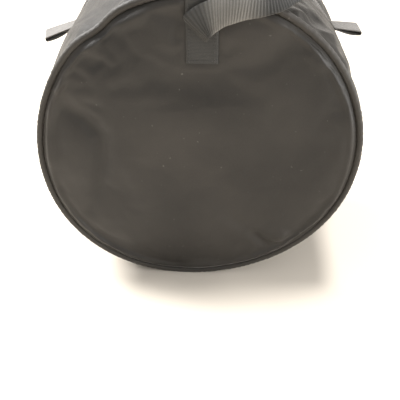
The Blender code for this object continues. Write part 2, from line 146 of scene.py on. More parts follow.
def add(tree, kind, inputs=None, **settings):
    """Adds a node to a tree, and returns its signals by their number and by their name."""
    made = tree.nodes.new(kind)
    for setting, value in settings.items():
        setattr(made, setting, value)
    feed(tree, made.inputs, inputs or {})
    signals = {}
    for number, socket in enumerate(made.outputs):
        signals[number] = Signal(tree, socket)
        signals.setdefault(socket.name, signals[number])
    return signals


def new_material(name):
    """A new material, its tree and its shader's inputs."""
    material = bpy.data.materials.new(name)
    material.use_nodes = True
    return material, material.node_tree, material.node_tree.nodes["Principled BSDF"].inputs


world = bpy.data.worlds.new("white_room")
world.use_nodes = True
bpy.context.scene.world = world
sky = world.node_tree
seen = add(sky, "ShaderNodeLightPath")
shown = seen["Is Camera Ray"].maths("MAXIMUM", seen["Is Glossy Ray"])
shown = shown.maths("MAXIMUM", seen["Is Transmission Ray"])
strength = add(sky, "ShaderNodeMapRange", {"Value": shown, "To Min": sky_strength, "To Max": 1.0})[0]
feed(sky, sky.nodes["Background"].inputs, {"Color": (1, 1, 1, 1), "Strength": strength})

floor_mesh = bpy.data.meshes.new("floor")
corners = [(x * floor_half_size, y * floor_half_size, 0) for x, y in ((-1, -1), (1, -1), (1, 1), (-1, 1))]
floor_mesh.from_pydata(corners, [], [(0, 1, 2, 3)])
floor = bpy.data.objects.new("floor", floor_mesh)
bpy.context.scene.collection.objects.link(floor)
floor_material, floor_tree, floor_shader = new_material("floor")
feed(floor_tree, floor_shader, {"Base Color": floor_colour, "Roughness": 0.9, "Specular IOR Level": 0.1})
floor_mesh.materials.append(floor_material)


# The base panel is a round of black nylon over foam, and faces the camera. It is sewn in all round behind the
# welt, so its edge rolls in, and the handle's sewn end draws it flat. Its slack cloth lies in a few soft folds.
axis_z = base_centre.z
front_y = base_centre.y
back_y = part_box("lid_welt")[1].y


def extent(node):
    """A round solid's least and greatest distance from the drum's axis, and the y of its near and far end."""
    reach = [hypot(point.co.x, point.co.z - axis_z) for point in frame["nodes"][node].data.vertices]
    low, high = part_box(node)
    return min(reach), max(reach), low.y, high.y


wall_radius, wall_start_y, wall_end_y = extent("wall_outer")[1:]
gusset_start_y, gusset_end_y = extent("gusset_outer")[2:]
panel_cells = 84
panel_tuck_radius = 0.0015
panel_radius = extent("base_panel_outer")[1] + panel_tuck_radius
panel_front_y = extent("base_panel_outer")[2]
panel_back_y = extent("base_panel_foam")[3]
panel_crown = 0.0028
panel_roll = 0.0022
panel_roll_share = 0.6
panel_tuck = 0.0012
panel_free_share = 0.975
hem_place_share = 0.958
hem_width_share = 0.019
hem_height = 0.0030
strip_low, strip_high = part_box("handle_front_anchor")
strip_x = (strip_low.x + strip_high.x) / 2
webbing_width = strip_high.x - strip_low.x
strip_margin = 0.002
strip_pull = 0.009

# The size of each of the panel's ripples, in shares of its radius, and their height.
panel_waves = (0.42, 0.0011)
panel_wrinkles = (0.13, 0.0005)
panel_puckers = (0.9, 0.0008)

# Each fold is its route over the panel, in shares of its radius to the right and up, its width and its height.
base_folds_shares = [
    ([(-0.92, 0.38), (-0.80, 0.31), (-0.69, 0.23), (-0.61, 0.12), (-0.595, -0.05), (-0.62, -0.25),
      (-0.70, -0.45), (-0.80, -0.55)], 0.058, -0.030),
    ([(-0.84, 0.46), (-0.91, 0.30), (-0.935, 0.12), (-0.935, -0.04), (-0.92, -0.20)], 0.034, 0.022),
    ([(-0.80, 0.28), (-0.77, 0.02), (-0.80, -0.30)], 0.090, 0.012),
    ([(-0.78, 0.52), (-0.84, 0.44), (-0.88, 0.42)], 0.020, 0.020),
    ([(-0.66, 0.66), (-0.58, 0.76)], 0.035, 0.020),
    ([(-0.66, 0.56), (-0.50, 0.66)], 0.030, -0.010),
    ([(-0.48, 0.80), (-0.25, 0.92)], 0.030, 0.020),
    ([(-0.78, 0.46), (-0.60, 0.46)], 0.035, -0.008),
    ([(0.37, -0.60), (0.44, -0.68), (0.51, -0.76)], 0.028, -0.026),
    ([(0.55, -0.72), (0.63, -0.60)], 0.045, 0.020),
    ([(0.16, 0.52), (0.30, 0.42), (0.44, 0.37)], 0.045, -0.006),
    ([(0.20, 0.36), (0.42, 0.26)], 0.045, 0.005),
    ([(-0.30, 0.55), (-0.14, 0.44)], 0.060, -0.006),
    ([(0.60, 0.70), (0.74, 0.56)], 0.030, 0.014),
    ([(0.88, 0.18), (0.90, -0.12)], 0.040, 0.010),
    ([(-0.52, -0.55), (-0.40, -0.72)], 0.050, 0.008),
    ([(0.80, -0.38), (0.90, -0.30)], 0.030, -0.008),
    ([(-0.12, 0.95), (-0.11, 0.70)], 0.030, -0.008),
    ([(-0.76, 0.56), (-0.64, 0.50)], 0.024, -0.012),
    ([(-0.60, 0.68), (-0.46, 0.60)], 0.022, 0.011),
    ([(-0.72, 0.37), (-0.56, 0.31)], 0.024, -0.009),
    ([(-0.42, 0.78), (-0.33, 0.62)], 0.022, -0.009),
    ([(-0.28, 0.70), (-0.16, 0.60)], 0.026, 0.007),
]

# The whole bag is a stiff foam drum on its side. Its base rim has sunk a little out of round, with a dent at the
# upper left, and lies flat on the floor. The roundness comes back towards the zip. Each rim wave is how often it
# goes round, and its cosine and sine in shares of the radius.
rim_waves = [(2, 0, 0.0207), (3, 0.0078, -0.0085), (4, -0.0031, -0.0008)]
round_again_y = wall_end_y - 0.02
lid_twos_share = -0.006
lid_round_depth = 0.01
dent_angle = radians(125.5)
dent_half_angle = radians(6.5)
dent_half_depth = 0.03
dent_depth = 0.0065
dent_inner_share = 0.86
dent_fade_share = 0.12
dent_back_share = 0.8


def eased(share):
    """0 below 0, 1 above 1, and a smooth way between."""
    held = np.clip(share, 0, 1)
    return held * held * (3 - 2 * held)


def hump(distance, width):
    """1 at no distance, and almost 0 past twice the width."""
    return np.exp(-np.square(distance / width))


def on_bag(angle, radius, y):
    """Points at an angle and a radius round the drum's axis and at a depth, on the bag as it lies."""
    angle, radius, y = np.broadcast_arrays(angle, radius, y)
    out_of_round = 0
    for times, cosine, sine in rim_waves:
        out_of_round = out_of_round + cosine * np.cos(times * angle) + sine * np.sin(times * angle)
    front = eased((round_again_y - y) / (round_again_y - front_y))
    back = eased((y - gusset_start_y - lid_round_depth) / (back_y - gusset_start_y - lid_round_depth))
    dent = hump((angle + pi) % tau - pi - dent_angle, dent_half_angle) * hump(y - front_y, dent_half_depth)
    dent = dent * eased((radius / wall_radius - dent_inner_share) / dent_fade_share)
    lies = radius * (1 + front * out_of_round + back * lid_twos_share * np.sin(2 * angle))
    lies = lies - dent_depth * dent
    z = axis_z + lies * np.sin(angle)
    z = np.maximum(z, np.maximum(wall_radius - radius, 0))
    return np.stack([lies * np.cos(angle), y + dent_depth * dent_back_share * dent, z], axis=-1)


def made_object(name, points, faces, uvs):
    """An object from its points and faces, with its cloth coordinates in metres and its faces pointing out."""
    data = bpy.data.meshes.new(name)
    data.from_pydata(np.reshape(points, (-1, 3)).tolist(), [], faces)
    layer = data.uv_layers.new(name="cloth")
    layer.data.foreach_set("uv", np.asarray(uvs, np.float32).ravel())
    shape = bmesh.new()
    shape.from_mesh(data)
    bmesh.ops.recalc_face_normals(shape, faces=shape.faces)
    shape.to_mesh(data)
    shape.free()
    data.shade_smooth()
    piece = bpy.data.objects.new(name, data)
    bpy.context.scene.collection.objects.link(piece)
    return piece


def coordinates(mesh):
    """A mesh's points as an array."""
    found = np.empty(len(mesh.vertices) * 3, np.float32)
    mesh.vertices.foreach_get("co", found)
    return found.reshape(-1, 3).astype(float)


def move_to(piece, points):
    """Puts a piece's points where an array says."""
    piece.data.vertices.foreach_set("co", np.asarray(points, np.float32).ravel())
    piece.data.update()


def with_modifiers(piece):
    """Turns what a piece's modifiers make into its mesh, and removes them."""
    made = bpy.data.meshes.new_from_object(piece.evaluated_get(bpy.context.evaluated_depsgraph_get()))
    piece.modifiers.clear()
    piece.data = made


def smoother(piece):
    """Divides each face in four and rounds the surface."""
    rounding = piece.modifiers.new("rounding", "SUBSURF")
    rounding.levels = rounding.render_levels = 1
    with_modifiers(piece)


# Padded cloth is let go in a cloth simulation: the sewn edges are held, the cloth is cut a little larger than
# its frame, and the foam behind it presses out, so that it creases as real cloth does. No point of it moves
# further than the cap.
settle_frames = 18
settle_pressure = 0.5
settle_slack = 0.012
settle_cap = 0.003


def settle(piece, held):
    """Simulates a padded piece and keeps its settled shape."""
    before = coordinates(piece.data)
    group = piece.vertex_groups.new(name="sewn")
    group.add([int(i) for i in np.nonzero(held)[0]], 1, "REPLACE")
    cloth = piece.modifiers.new("settling", "CLOTH")
    settings = cloth.settings
    settings.vertex_group_mass = "sewn"
    settings.quality = 5
    settings.mass = 0.3
    settings.tension_stiffness = settings.compression_stiffness = 25
    settings.shear_stiffness = 12
    settings.bending_stiffness = 1.2
    settings.shrink_min = settings.shrink_max = -settle_slack
    settings.use_pressure = True
    settings.uniform_pressure_force = settle_pressure
    settings.effector_weights.gravity = 0
    cloth.collision_settings.use_collision = False
    cloth.point_cache.frame_end = settle_frames
    for step in range(1, settle_frames + 1):
        bpy.context.scene.frame_set(step)
    settled = piece.evaluated_get(bpy.context.evaluated_depsgraph_get()).to_mesh()
    moved = coordinates(settled) - before
    length = np.linalg.norm(moved, axis=1, keepdims=True)
    moved *= np.minimum(1, settle_cap / np.maximum(length, 1e-9))
    piece.modifiers.clear()
    piece.vertex_groups.clear()
    bpy.context.scene.frame_set(1)
    move_to(piece, before + moved)


noise_gain = 1.6
crease_end_height = 0.1
crease_fade_share = 0.35


def ripples(across, along, size, seed):
    """Soft random waves over a surface, from about -1 to 1."""
    flat = np.stack([np.ravel(across), np.ravel(along)], axis=1) / size
    waves = [noise.noise((float(a), float(b), seed)) for a, b in flat]
    return np.reshape(waves, np.shape(across)) * noise_gain


def crease(across, along, route, width):
    """1 along a route of points over a surface, almost 0 past twice the width from it, and fading at its ends."""
    near = np.full(np.shape(across), np.inf)
    place = np.zeros(np.shape(across))
    for leg, ((x0, y0), (x1, y1)) in enumerate(zip(route, route[1:])):
        dx, dy = x1 - x0, y1 - y0
        share = np.clip(((across - x0) * dx + (along - y0) * dy) / (dx * dx + dy * dy), 0, 1)
        distance = np.hypot(across - x0 - share * dx, along - y0 - share * dy)
        place = np.where(distance < near, (leg + share) / (len(route) - 1), place)
        near = np.minimum(near, distance)
    return hump(near, width) * eased(crease_end_height + np.minimum(place, 1 - place) / crease_fade_share)


# The nylon is closely woven, with a slight sheen, and has gone charcoal. Its yarns, its fading in broad clouds and
# the odd fleck of lint come from one shader group, which the other plain cloths of the bag share.
nylon_colour = (0.0235, 0.0210, 0.0180, 1)
nylon_yarn = 0.00055
lint_colour = (0.4, 0.38, 0.35, 1)
cloth_outputs = [("Colour", "Color"), ("Roughness", "Float"), ("Height", "Float")]


def node_group(name, kind, inputs, outputs):
    """A new node group, its inputs' signals and its output sockets. Each socket is its name and kind, and an
    input may have a usual value."""
    group = bpy.data.node_groups.new(name, kind)
    for socket, socket_kind, *usual in inputs:
        made = group.interface.new_socket(socket, in_out="INPUT", socket_type="NodeSocket" + socket_kind)
        if usual:
            made.default_value = usual[0]
    for socket, socket_kind in outputs:
        group.interface.new_socket(socket, in_out="OUTPUT", socket_type="NodeSocket" + socket_kind)
    return group, add(group, "NodeGroupInput"), group.nodes.new("NodeGroupOutput").inputs


def shaded(colour, amount):
    """A colour times an amount of light."""
    return add(amount.tree, "ShaderNodeVectorMath", {0: colour, "Scale": amount}, operation="SCALE")[0]


def speckle(place, scale, detail):
    """Random values over a surface, about 0.5."""
    return add(place.tree, "ShaderNodeTexNoise", {"Vector": place, "Scale": scale, "Detail": detail})[0]


def ranged(value, low, high, to_low, to_high):
    """A value mapped from one range to another, and held there."""
    inputs = {"Value": value, "From Min": low, "From Max": high, "To Min": to_low, "To Max": to_high}
    return add(value.tree, "ShaderNodeMapRange", inputs)[0]


def spread(speckles, low, high):
    """Speckles that reach from low to high."""
    return ranged(speckles, 0.3, 0.7, low, high)


woven, given, gives = node_group(
    "woven_cloth", "ShaderNodeTree",
    [("Colour", "Color", nylon_colour), ("Yarn", "Float", nylon_yarn), ("Fading", "Float", 0.12),
     ("Lint", "Float", 0.3), ("Roughness", "Float", 0.5)],
    cloth_outputs,
)
cloth_axes = add(woven, "ShaderNodeSeparateXYZ", {0: add(woven, "ShaderNodeUVMap", uv_map="cloth")[0]})
object_place = add(woven, "ShaderNodeTexCoord")["Object"]
turns = pi / given["Yarn"]
weave = (cloth_axes[0] * turns).maths("SINE") * (cloth_axes[1] * turns).maths("SINE")
clouds = speckle(object_place, 9.0, 3.0)
fibres = speckle(object_place, 700.0, 1.0)
flecks = speckle(object_place, 170.0, 1.0)
light = spread(clouds, -1.0, 1.0) * given["Fading"] + 1.0 + weave * 0.10 + spread(fibres, -0.07, 0.07)
lint = ranged(flecks, 0.765, 0.82, 0.0, 1.0) * given["Lint"]
tints = {0: lint, 6: shaded(given["Colour"], light), 7: lint_colour}
feed(woven, gives, {
    "Colour": add(woven, "ShaderNodeMix", tints, data_type="RGBA")[2],
    "Roughness": given["Roughness"] + spread(clouds, -0.05, 0.05) - weave * 0.05,
    "Height": weave * 0.4 + fibres * 0.3,
})


def cloth_material(name, group, values, bump_height, sheen=0.0, coarse=0.0, specular=0.5):
    """A material that takes its colour, roughness and bump from a cloth group. Coarse is a crumple's height."""
    material, tree, shader = new_material(name)
    cloth = add(tree, "ShaderNodeGroup", values, node_tree=group)
    bump = {"Strength": 0.7, "Distance": bump_height, "Height": cloth["Height"]}
    if coarse:
        crumple = speckle(add(tree, "ShaderNodeTexCoord")["Object"], 38.0, 4.0)
        bump["Normal"] = add(tree, "ShaderNodeBump", {"Strength": 0.5, "Distance": coarse, "Height": crumple})[0]
    feed(tree, shader, {
        "Base Color": cloth["Colour"],
        "Roughness": cloth["Roughness"],
        "Normal": add(tree, "ShaderNodeBump", bump)[0],
        "Sheen Weight": sheen,
        "Sheen Roughness": 0.35,
        "Sheen Tint": (1.0, 0.95, 0.88, 1),
        "Specular IOR Level": specular,
    })
    return material


nylon = cloth_material(
    "nylon", woven,
    {"Colour": nylon_colour, "Yarn": nylon_yarn, "Roughness": 0.46, "Lint": 0.12, "Fading": 0.40},
    0.00012, sheen=0.17, coarse=0.0016, specular=0.28,
)


def panel_height(right, up, folds, seed):
    """How far a panel's cloth stands out, at places given in shares of its radius."""
    edge = np.hypot(right, up)
    height = panel_crown * (1 - edge ** 6)
    for route, width, size in folds:
        height = height + size * panel_radius * crease(right, up, route, width)
    waves = ripples(right, up, panel_waves[0], seed) * panel_waves[1]
    waves = waves + ripples(right, up, panel_wrinkles[0], seed + 5) * panel_wrinkles[1]
    near_rim = eased((edge - 0.75) / 0.2)
    puckers = ripples(np.arctan2(up, right) * 7, edge * 1.5, panel_puckers[0], seed + 9)
    puckers = puckers * panel_puckers[1] * near_rim
    hem = hem_height * hump(edge - hem_place_share, hem_width_share)
    return height + hem + (waves + puckers) * (1 - eased((edge - 0.97) / 0.03))


def round_panel(name, front, back, folds, seed, flattened=None):
    """A padded round end of the bag. Front and back are the y of its outer face and of its foam's inner face."""
    line = np.linspace(-1, 1, panel_cells + 1)
    u, v = np.meshgrid(line, line)
    right = u * np.sqrt(1 - v * v / 2)
    up = v * np.sqrt(1 - u * u / 2)
    outwards = np.sign(front - back)
    flat = flattened(right * panel_radius, up * panel_radius) if flattened else np.zeros_like(right)
    points = on_bag(np.arctan2(up, right), np.hypot(right, up) * panel_radius, front)
    points[..., 1] += outwards * panel_height(right, up, folds, seed) * (1 - flat)
    points = points.reshape(-1, 3)
    behind = points.copy()
    behind[:, 1] = back

    side = panel_cells + 1
    count = side * side
    number = np.arange(count).reshape(side, side)
    net = np.stack([number[:-1, :-1], number[:-1, 1:], number[1:, 1:], number[1:, :-1]], axis=-1)
    faces = net.reshape(-1, 4).tolist()
    places = np.stack([right, up], axis=-1).reshape(-1, 2) * panel_radius
    uvs = places[np.ravel(faces)].tolist() * 2
    faces += [[count + i for i in reversed(face)] for face in faces]
    border = np.concatenate([number[0, :-1], number[:-1, -1], number[-1, :0:-1], number[:0:-1, 0]])
    for i, j in zip(border.tolist(), np.roll(border, -1).tolist()):
        faces.append([i, j, count + j, count + i])
        uvs += [(0, 0), (0, 0.004), (0.01, 0.004), (0.01, 0)]
    piece = made_object(name, np.vstack([points, behind]), faces, uvs)

    free = (np.hypot(right, up) < panel_free_share) & (flat < 0.5)
    held = np.ones(2 * count, bool)
    held[:count] = ~free.ravel()
    settle(piece, held)
    smoother(piece)

    points = coordinates(piece.data)
    rim = on_bag(np.arctan2(points[:, 2] - axis_z, points[:, 0]), panel_radius, front)
    from_rim = np.hypot(rim[:, 0], rim[:, 2] - axis_z) - np.hypot(points[:, 0], points[:, 2] - axis_z)
    inset = np.clip(from_rim, 0, panel_roll)
    rolled = panel_roll - np.sqrt(np.maximum(panel_roll ** 2 - (panel_roll - inset) ** 2, 0))
    outer = (points[:, 1] - back) * outwards > panel_tuck
    points[:, 1] -= outwards * outer * rolled * panel_roll_share
    move_to(piece, points)
    return piece


def under_strip(right, up):
    """1 under the webbing that is sewn to the base panel, and 0 away from it."""
    across = np.abs(right - strip_x) - webbing_width / 2
    below = strip_low.z - axis_z - up
    return 1 - eased((np.maximum(across, below) + strip_margin) / strip_pull)


def dress(piece, material, body=None, solids=()):
    """Gives a piece its material and slot, the body that carries it, and the solids that it stands for."""
    piece.data.materials.append(material)
    if body:
        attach(piece, body)
    if solids:
        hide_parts(*solids)


base_panel = round_panel("base_panel", panel_front_y, panel_back_y, base_folds_shares, 3.0, under_strip)
dress(base_panel, nylon, "shell", ("base_panel_outer", "base_panel_foam"))


# The welt in each rim seam is a cord in a folded strip of the same nylon, sewn between the panel and the wall.
# The strip is cut on the bias and puckers slightly round the curve, and the bag's weight flattens it.
welt_colour = (0.040, 0.036, 0.031, 1)
welt_radius = (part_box("base_welt")[1].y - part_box("base_welt")[0].y) / 2
welt_ring_radius = extent("base_welt")[1] - welt_radius
welt_sides = 20
welt_steps = 720
welt_pucker = 0.00022
welt_pucker_count = 173

welt_nylon = cloth_material(
    "welt_nylon", woven, {"Colour": welt_colour, "Yarn": nylon_yarn, "Roughness": 0.55, "Lint": 0.1},
    0.0002, sheen=0.06, coarse=0.0006, specular=0.25,
)


def swept(name, outline, bumps=None, start=0.0, end=tau, steps=240):
    """A piece that runs round the drum's axis: a closed outline of (radius, y, puff) points, swept between
    two angles. The bumps are a function of the angle and y, and a point takes its puff's share of them."""
    whole = end - start > tau - 0.001
    count = steps if whole else steps + 1
    width = len(outline)
    outline = np.array(outline, float)
    turns = start + (end - start) * np.arange(steps + 1) / steps
    angle, radius, y, puff = np.broadcast_arrays(turns[:count, None], *outline.T)
    if bumps is not None:
        radius = radius + puff * bumps(angle, y)
    sides = np.linalg.norm(np.diff(np.vstack([outline, outline[:1]])[:, :2], axis=0), axis=1)
    along = np.concatenate([[0], np.cumsum(sides)])
    around = turns * wall_radius
    faces = []
    uvs = []
    for i in range(steps):
        for j in range(width):
            i_next = (i + 1) % count
            j_next = (j + 1) % width
            faces.append((i * width + j, i * width + j_next, i_next * width + j_next, i_next * width + j))
            uvs += [(around[i], along[j]), (around[i], along[j + 1])]
            uvs += [(around[i + 1], along[j + 1]), (around[i + 1], along[j])]
    if not whole:
        for first in (0, steps * width):
            faces.append(tuple(range(first, first + width)))
            uvs += [(radius[0, j], y[0, j]) for j in range(width)]
    return made_object(name, on_bag(angle, radius, y), faces, uvs)


def oval(radius, y, half_height, half_depth, sides, puff):
    """A closed oval outline of (radius, y, puff) points."""
    turns = [tau * i / sides for i in range(sides)]
    return [(radius + half_height * cos(turn), y + half_depth * sin(turn), puff) for turn in turns]


def welt_bumps(angle, y):
    """The welt's small uneven puckers."""
    return welt_pucker * (np.sin(angle * welt_pucker_count) + ripples(angle * 30, y * 400, 1.0, 2.0) * 1.5)


def make_welt(name, centre_y, body, node):
    """A welt in its rim seam."""
    section = oval(welt_ring_radius, centre_y, welt_radius, welt_radius, welt_sides, 1)
    dress(swept(name, section, welt_bumps, steps=welt_steps), welt_nylon, body, [node])


make_welt("base_rim_welt", front_y + welt_radius, "shell", "base_welt")


# The wall is one long piece of nylon over foam with its ends joined, sewn to the welt in front and turned under
# along the zip. It is puffed by the foam, bulges on the right, and creases where the webbing pulls on it.
wall_rows = 34
wall_puff = 0.0022
wall_edge_roll = 0.004
wall_front_edge = 0.007
wall_zip_edge = 0.006
foam_inner = extent("wall_foam")[0]
tab_low, tab_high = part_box("side_tab_patch_right")
rear_low, rear_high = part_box("handle_rear_anchor")
sewn_margin = 0.001
sewn_pull = 0.008
bulge_angle = radians(24)
bulge_half_angle = radians(24)
bulge_depth = 0.145
bulge_half_depth = 0.085
bulge_height = 0.0022

# The size and the height of the wall's ripples: broad ones, finer ones, and puckers beside its two seams.
wall_waves = (0.065, 0.0013)
wall_wrinkles = (0.022, 0.0004)
wall_puckers = (0.011, 0.0007)
wall_pucker_depth = 0.016

# Each fold is its route, in degrees round the axis and metres behind the rim, its width and its height.
wall_folds = [
    ([(126, 0.006), (136, 0.050), (150, 0.105)], 0.012, 0.0026),
    ([(118, 0.010), (127, 0.060), (134, 0.130)], 0.012, -0.0034),
    ([(140, 0.012), (152, 0.060)], 0.010, -0.0030),
    ([(108, 0.012), (112, 0.055), (110, 0.095)], 0.012, 0.0030),
    ([(44, 0.010), (38, 0.050), (36, 0.100)], 0.014, 0.0034),
    ([(52, 0.012), (47, 0.070)], 0.011, -0.0034),
    ([(31, 0.014), (22, 0.060), (12, 0.120)], 0.013, -0.0028),
    ([(66, 0.060), (64, 0.120)], 0.012, -0.0018),
    ([(60, 0.016), (56, 0.034), (51, 0.044)], 0.006, 0.0040),
    ([(56, 0.010), (50, 0.026)], 0.006, -0.0038),
    ([(48, 0.022), (43, 0.034), (41, 0.056)], 0.006, 0.0038),
    ([(40, 0.012), (33, 0.022), (30, 0.040)], 0.007, 0.0034),
    ([(36, 0.034), (28, 0.060)], 0.008, -0.0034),
    ([(196, 0.015), (205, 0.080), (200, 0.150)], 0.016, -0.0025),
    ([(-30, 0.020), (-24, 0.090), (-28, 0.160)], 0.016, -0.0025),
    ([(170, 0.100), (176, 0.165)], 0.012, 0.0022),
    ([(235, 0.030), (228, 0.120)], 0.016, 0.0022),
]
wall_nylon = cloth_material(
    "wall_nylon", woven, {"Colour": nylon_colour, "Yarn": nylon_yarn, "Roughness": 0.62, "Lint": 0.15},
    0.00012, sheen=0.18, coarse=0.004, specular=0.15,
)


def turned_to(angle):
    """An angle brought between -90 and 270 degrees."""
    return (np.asarray(angle) + pi / 2) % tau - pi / 2


def outside(value, low, high):
    """How far a value is outside a range. It is less than 0 inside."""
    return np.maximum(low - value, value - high)


def sewn_flat(angle, y):
    """1 where webbing is sewn flat on the wall, and 0 away from it."""
    x = wall_radius * np.cos(angle)
    from_rim_part = np.maximum(np.abs(x - strip_x) - webbing_width / 2, y - strip_high.y)
    from_rear_part = np.maximum(outside(x, rear_low.x, rear_high.x), outside(y, rear_low.y, rear_high.y))
    height = np.abs(np.arcsin(np.clip(np.sin(angle), -1, 1)))
    low, high = (np.arcsin(np.clip((corner.z - axis_z) / wall_radius, -1, 1)) for corner in (tab_low, tab_high))
    from_tab = np.maximum(outside(height, low, high) * wall_radius, outside(y, tab_low.y, tab_high.y))
    near = np.minimum(np.minimum(from_rim_part, from_rear_part), from_tab)
    near = np.where(np.sin(angle) > 0, near, 1.0)
    return 1 - eased((near + sewn_margin) / sewn_pull)


def wall_bumps(angle, y):
    """How far the wall's cloth stands out."""
    angle = turned_to(angle)
    arc = angle * wall_radius
    depth = y - front_y
    share = (y - wall_start_y) / (wall_end_y - wall_start_y)
    puff = wall_puff * np.sqrt(np.clip(np.sin(pi * np.clip(share, 0, 1)), 0, 1))
    for route, width, size in wall_folds:
        placed = [(radians(turn) * wall_radius, metres) for turn, metres in route]
        puff = puff + size * crease(arc, depth, placed, width)
    puff = puff + ripples(arc, depth * 0.7, wall_waves[0], 11.0) * wall_waves[1]
    puff = puff + ripples(arc, depth, wall_wrinkles[0], 14.0) * wall_wrinkles[1]
    by_seams = hump(depth - 0.012, wall_pucker_depth) + hump(y - wall_end_y + 0.006, wall_pucker_depth)
    puff = puff + ripples(arc, depth * 0.3, wall_puckers[0], 17.0) * wall_puckers[1] * by_seams
    bulge = hump(angle - bulge_angle, bulge_half_angle) * hump(depth - bulge_depth, bulge_half_depth)
    edges = eased(share / 0.05) * eased((1 - share) / 0.05)
    return (puff * edges + bulge * bulge_height * edges) * (1 - sewn_flat(angle, y))


def padded_wall(name, start, end, rows, bumps, zip_edge, body, solids):
    """A padded round wall, with puffed cloth outside, rolled edges and plain foam inside. It is settled as cloth
    and then smoothed. The zip edge is how much of its far end is held."""
    roll = wall_edge_roll
    shoulder = wall_radius - roll * 0.35
    outline = [(foam_inner, start, 0), (wall_radius - roll, start, 0), (shoulder, start + roll * 0.3, 0)]
    outline += [(wall_radius, start + roll + (end - start - 2 * roll) * i / rows, 1) for i in range(rows + 1)]
    outline += [(shoulder, end - roll * 0.3, 0), (wall_radius - roll, end, 0), (foam_inner, end, 0)]
    piece = swept(name, outline, bumps)
    points = coordinates(piece.data)
    turns = len(points) // len(outline)
    puffs = np.tile([point[2] for point in outline], turns)
    ys = np.tile([point[1] for point in outline], turns)
    angle = np.arctan2(points[:, 2] - axis_z, points[:, 0])
    held = (puffs < 0.5) | (sewn_flat(angle, ys) > 0.4) | (points[:, 2] < 0.002)
    held |= (ys < start + wall_front_edge) | (ys > end - zip_edge)
    settle(piece, held)
    smoother(piece)
    points = coordinates(piece.data)
    points[:, 2] = np.maximum(points[:, 2], 0)
    move_to(piece, points)
    dress(piece, wall_nylon, body, solids)
    return piece


wall = padded_wall(
    "wall", wall_start_y, wall_end_y, wall_rows, wall_bumps, wall_zip_edge, "shell", ("wall_outer", "wall_foam")
)


# The carry handle is ribbed webbing, lighter and more faded than the bag. Its two ends are darkened with painted
# shade where the real webbing turns away from the light. One end is sewn up the base panel and over the rim. The
# free webbing leaves it just below the rim, folds over to the right and loops back to its rear end on the wall. It
# is a little stiff, so it stands off the wall.
webbing_rib = 0.0034
webbing_thickness = 0.0022
webbing_colour = (0.135, 0.129, 0.117, 1)
# How far along the handle its painted shade ends at the start, and from where it is painted again towards the end.
webbing_painted_shade_to = 0.022
webbing_painted_shade_from = 0.072
# The webbing sewn on the base panel and over the rim is the same webbing, coloured much darker as painted shade.
painted_shade_webbing_colour = (0.026, 0.025, 0.022, 1)
sewn_rib = webbing_rib * 0.5
strip_lift = 0.0012
handle_rear_lift = 0.0014

ribbed, given, gives = node_group(
    "ribbed_webbing", "ShaderNodeTree",
    [("Colour", "Color", webbing_colour), ("Rib", "Float", webbing_rib), ("Fading", "Float", 0.1),
     ("Roughness", "Float", 0.65), ("Dark To", "Float", -1.0), ("Dark From", "Float", 9.0)],
    cloth_outputs,
)
cloth_axes = add(ribbed, "ShaderNodeSeparateXYZ", {0: add(ribbed, "ShaderNodeUVMap", uv_map="cloth")[0]})
object_place = add(ribbed, "ShaderNodeTexCoord")["Object"]
turns = tau / given["Rib"]
rib = (cloth_axes[1] * turns).maths("COSINE")
strands = (cloth_axes[0] * 5200.0).maths("SINE") * (cloth_axes[1] * turns * 4.0).maths("SINE")
clouds = speckle(object_place, 22.0, 3.0)
fuzz = speckle(object_place, 900.0, 1.0)
light = spread(clouds, -1.0, 1.0) * given["Fading"] + 1.0 + rib * 0.16 + strands * 0.10
light = light + spread(fuzz, -0.12, 0.12)
# Painted shade: these two ramps darken the webbing near the start of its length and past a distance along it.
light = light * ranged(cloth_axes[1] - given["Dark To"], 0.0, 0.014, 0.25, 1.0)
light = light * ranged(cloth_axes[1] - given["Dark From"], 0.0, 0.025, 1.0, 0.2)
feed(ribbed, gives, {
    "Colour": shaded(given["Colour"], light),
    "Roughness": given["Roughness"] + rib * -0.05,
    "Height": strands * 0.35 + fuzz * 0.3 + rib * 0.3,
})
webbing = cloth_material(
    "webbing", ribbed,
    {"Colour": webbing_colour, "Rib": webbing_rib, "Dark To": webbing_painted_shade_to, "Dark From": webbing_painted_shade_from},
    0.0003, sheen=0.08, specular=0.3,
)
painted_shade_webbing = cloth_material(
    "painted_shade_webbing", ribbed, {"Colour": painted_shade_webbing_colour, "Rib": sewn_rib, "Fading": 0.06},
    0.00022, sheen=0.1,
)


def spaced(stations, step):
    """Stations at even steps along a smooth course through the given ones, how far along it each of them is, and
    how far along the given ones are. A station is the points of the webbing's two edges."""
    stations = np.array(stations, float)
    middle = stations.mean(axis=1)
    whole = np.concatenate([[0], np.cumsum(np.linalg.norm(np.diff(middle, axis=0), axis=1))])
    slope = np.gradient(stations.reshape(len(whole), -1), whole, axis=0).reshape(stations.shape)
    places = np.linspace(0, whole[-1], int(np.ceil(whole[-1] / step)) + 1)
    index = np.clip(np.searchsorted(whole, places, "right") - 1, 0, len(whole) - 2)
    gap = (whole[index + 1] - whole[index])[:, None, None]
    t = (places[:, None, None] - whole[index][:, None, None]) / gap
    near = (2 * t ** 3 - 3 * t ** 2 + 1) * stations[index] + (t ** 3 - 2 * t ** 2 + t) * gap * slope[index]
    far = (3 * t ** 2 - 2 * t ** 3) * stations[index + 1] + (t ** 3 - t ** 2) * gap * slope[index + 1]
    return near + far, places, whole


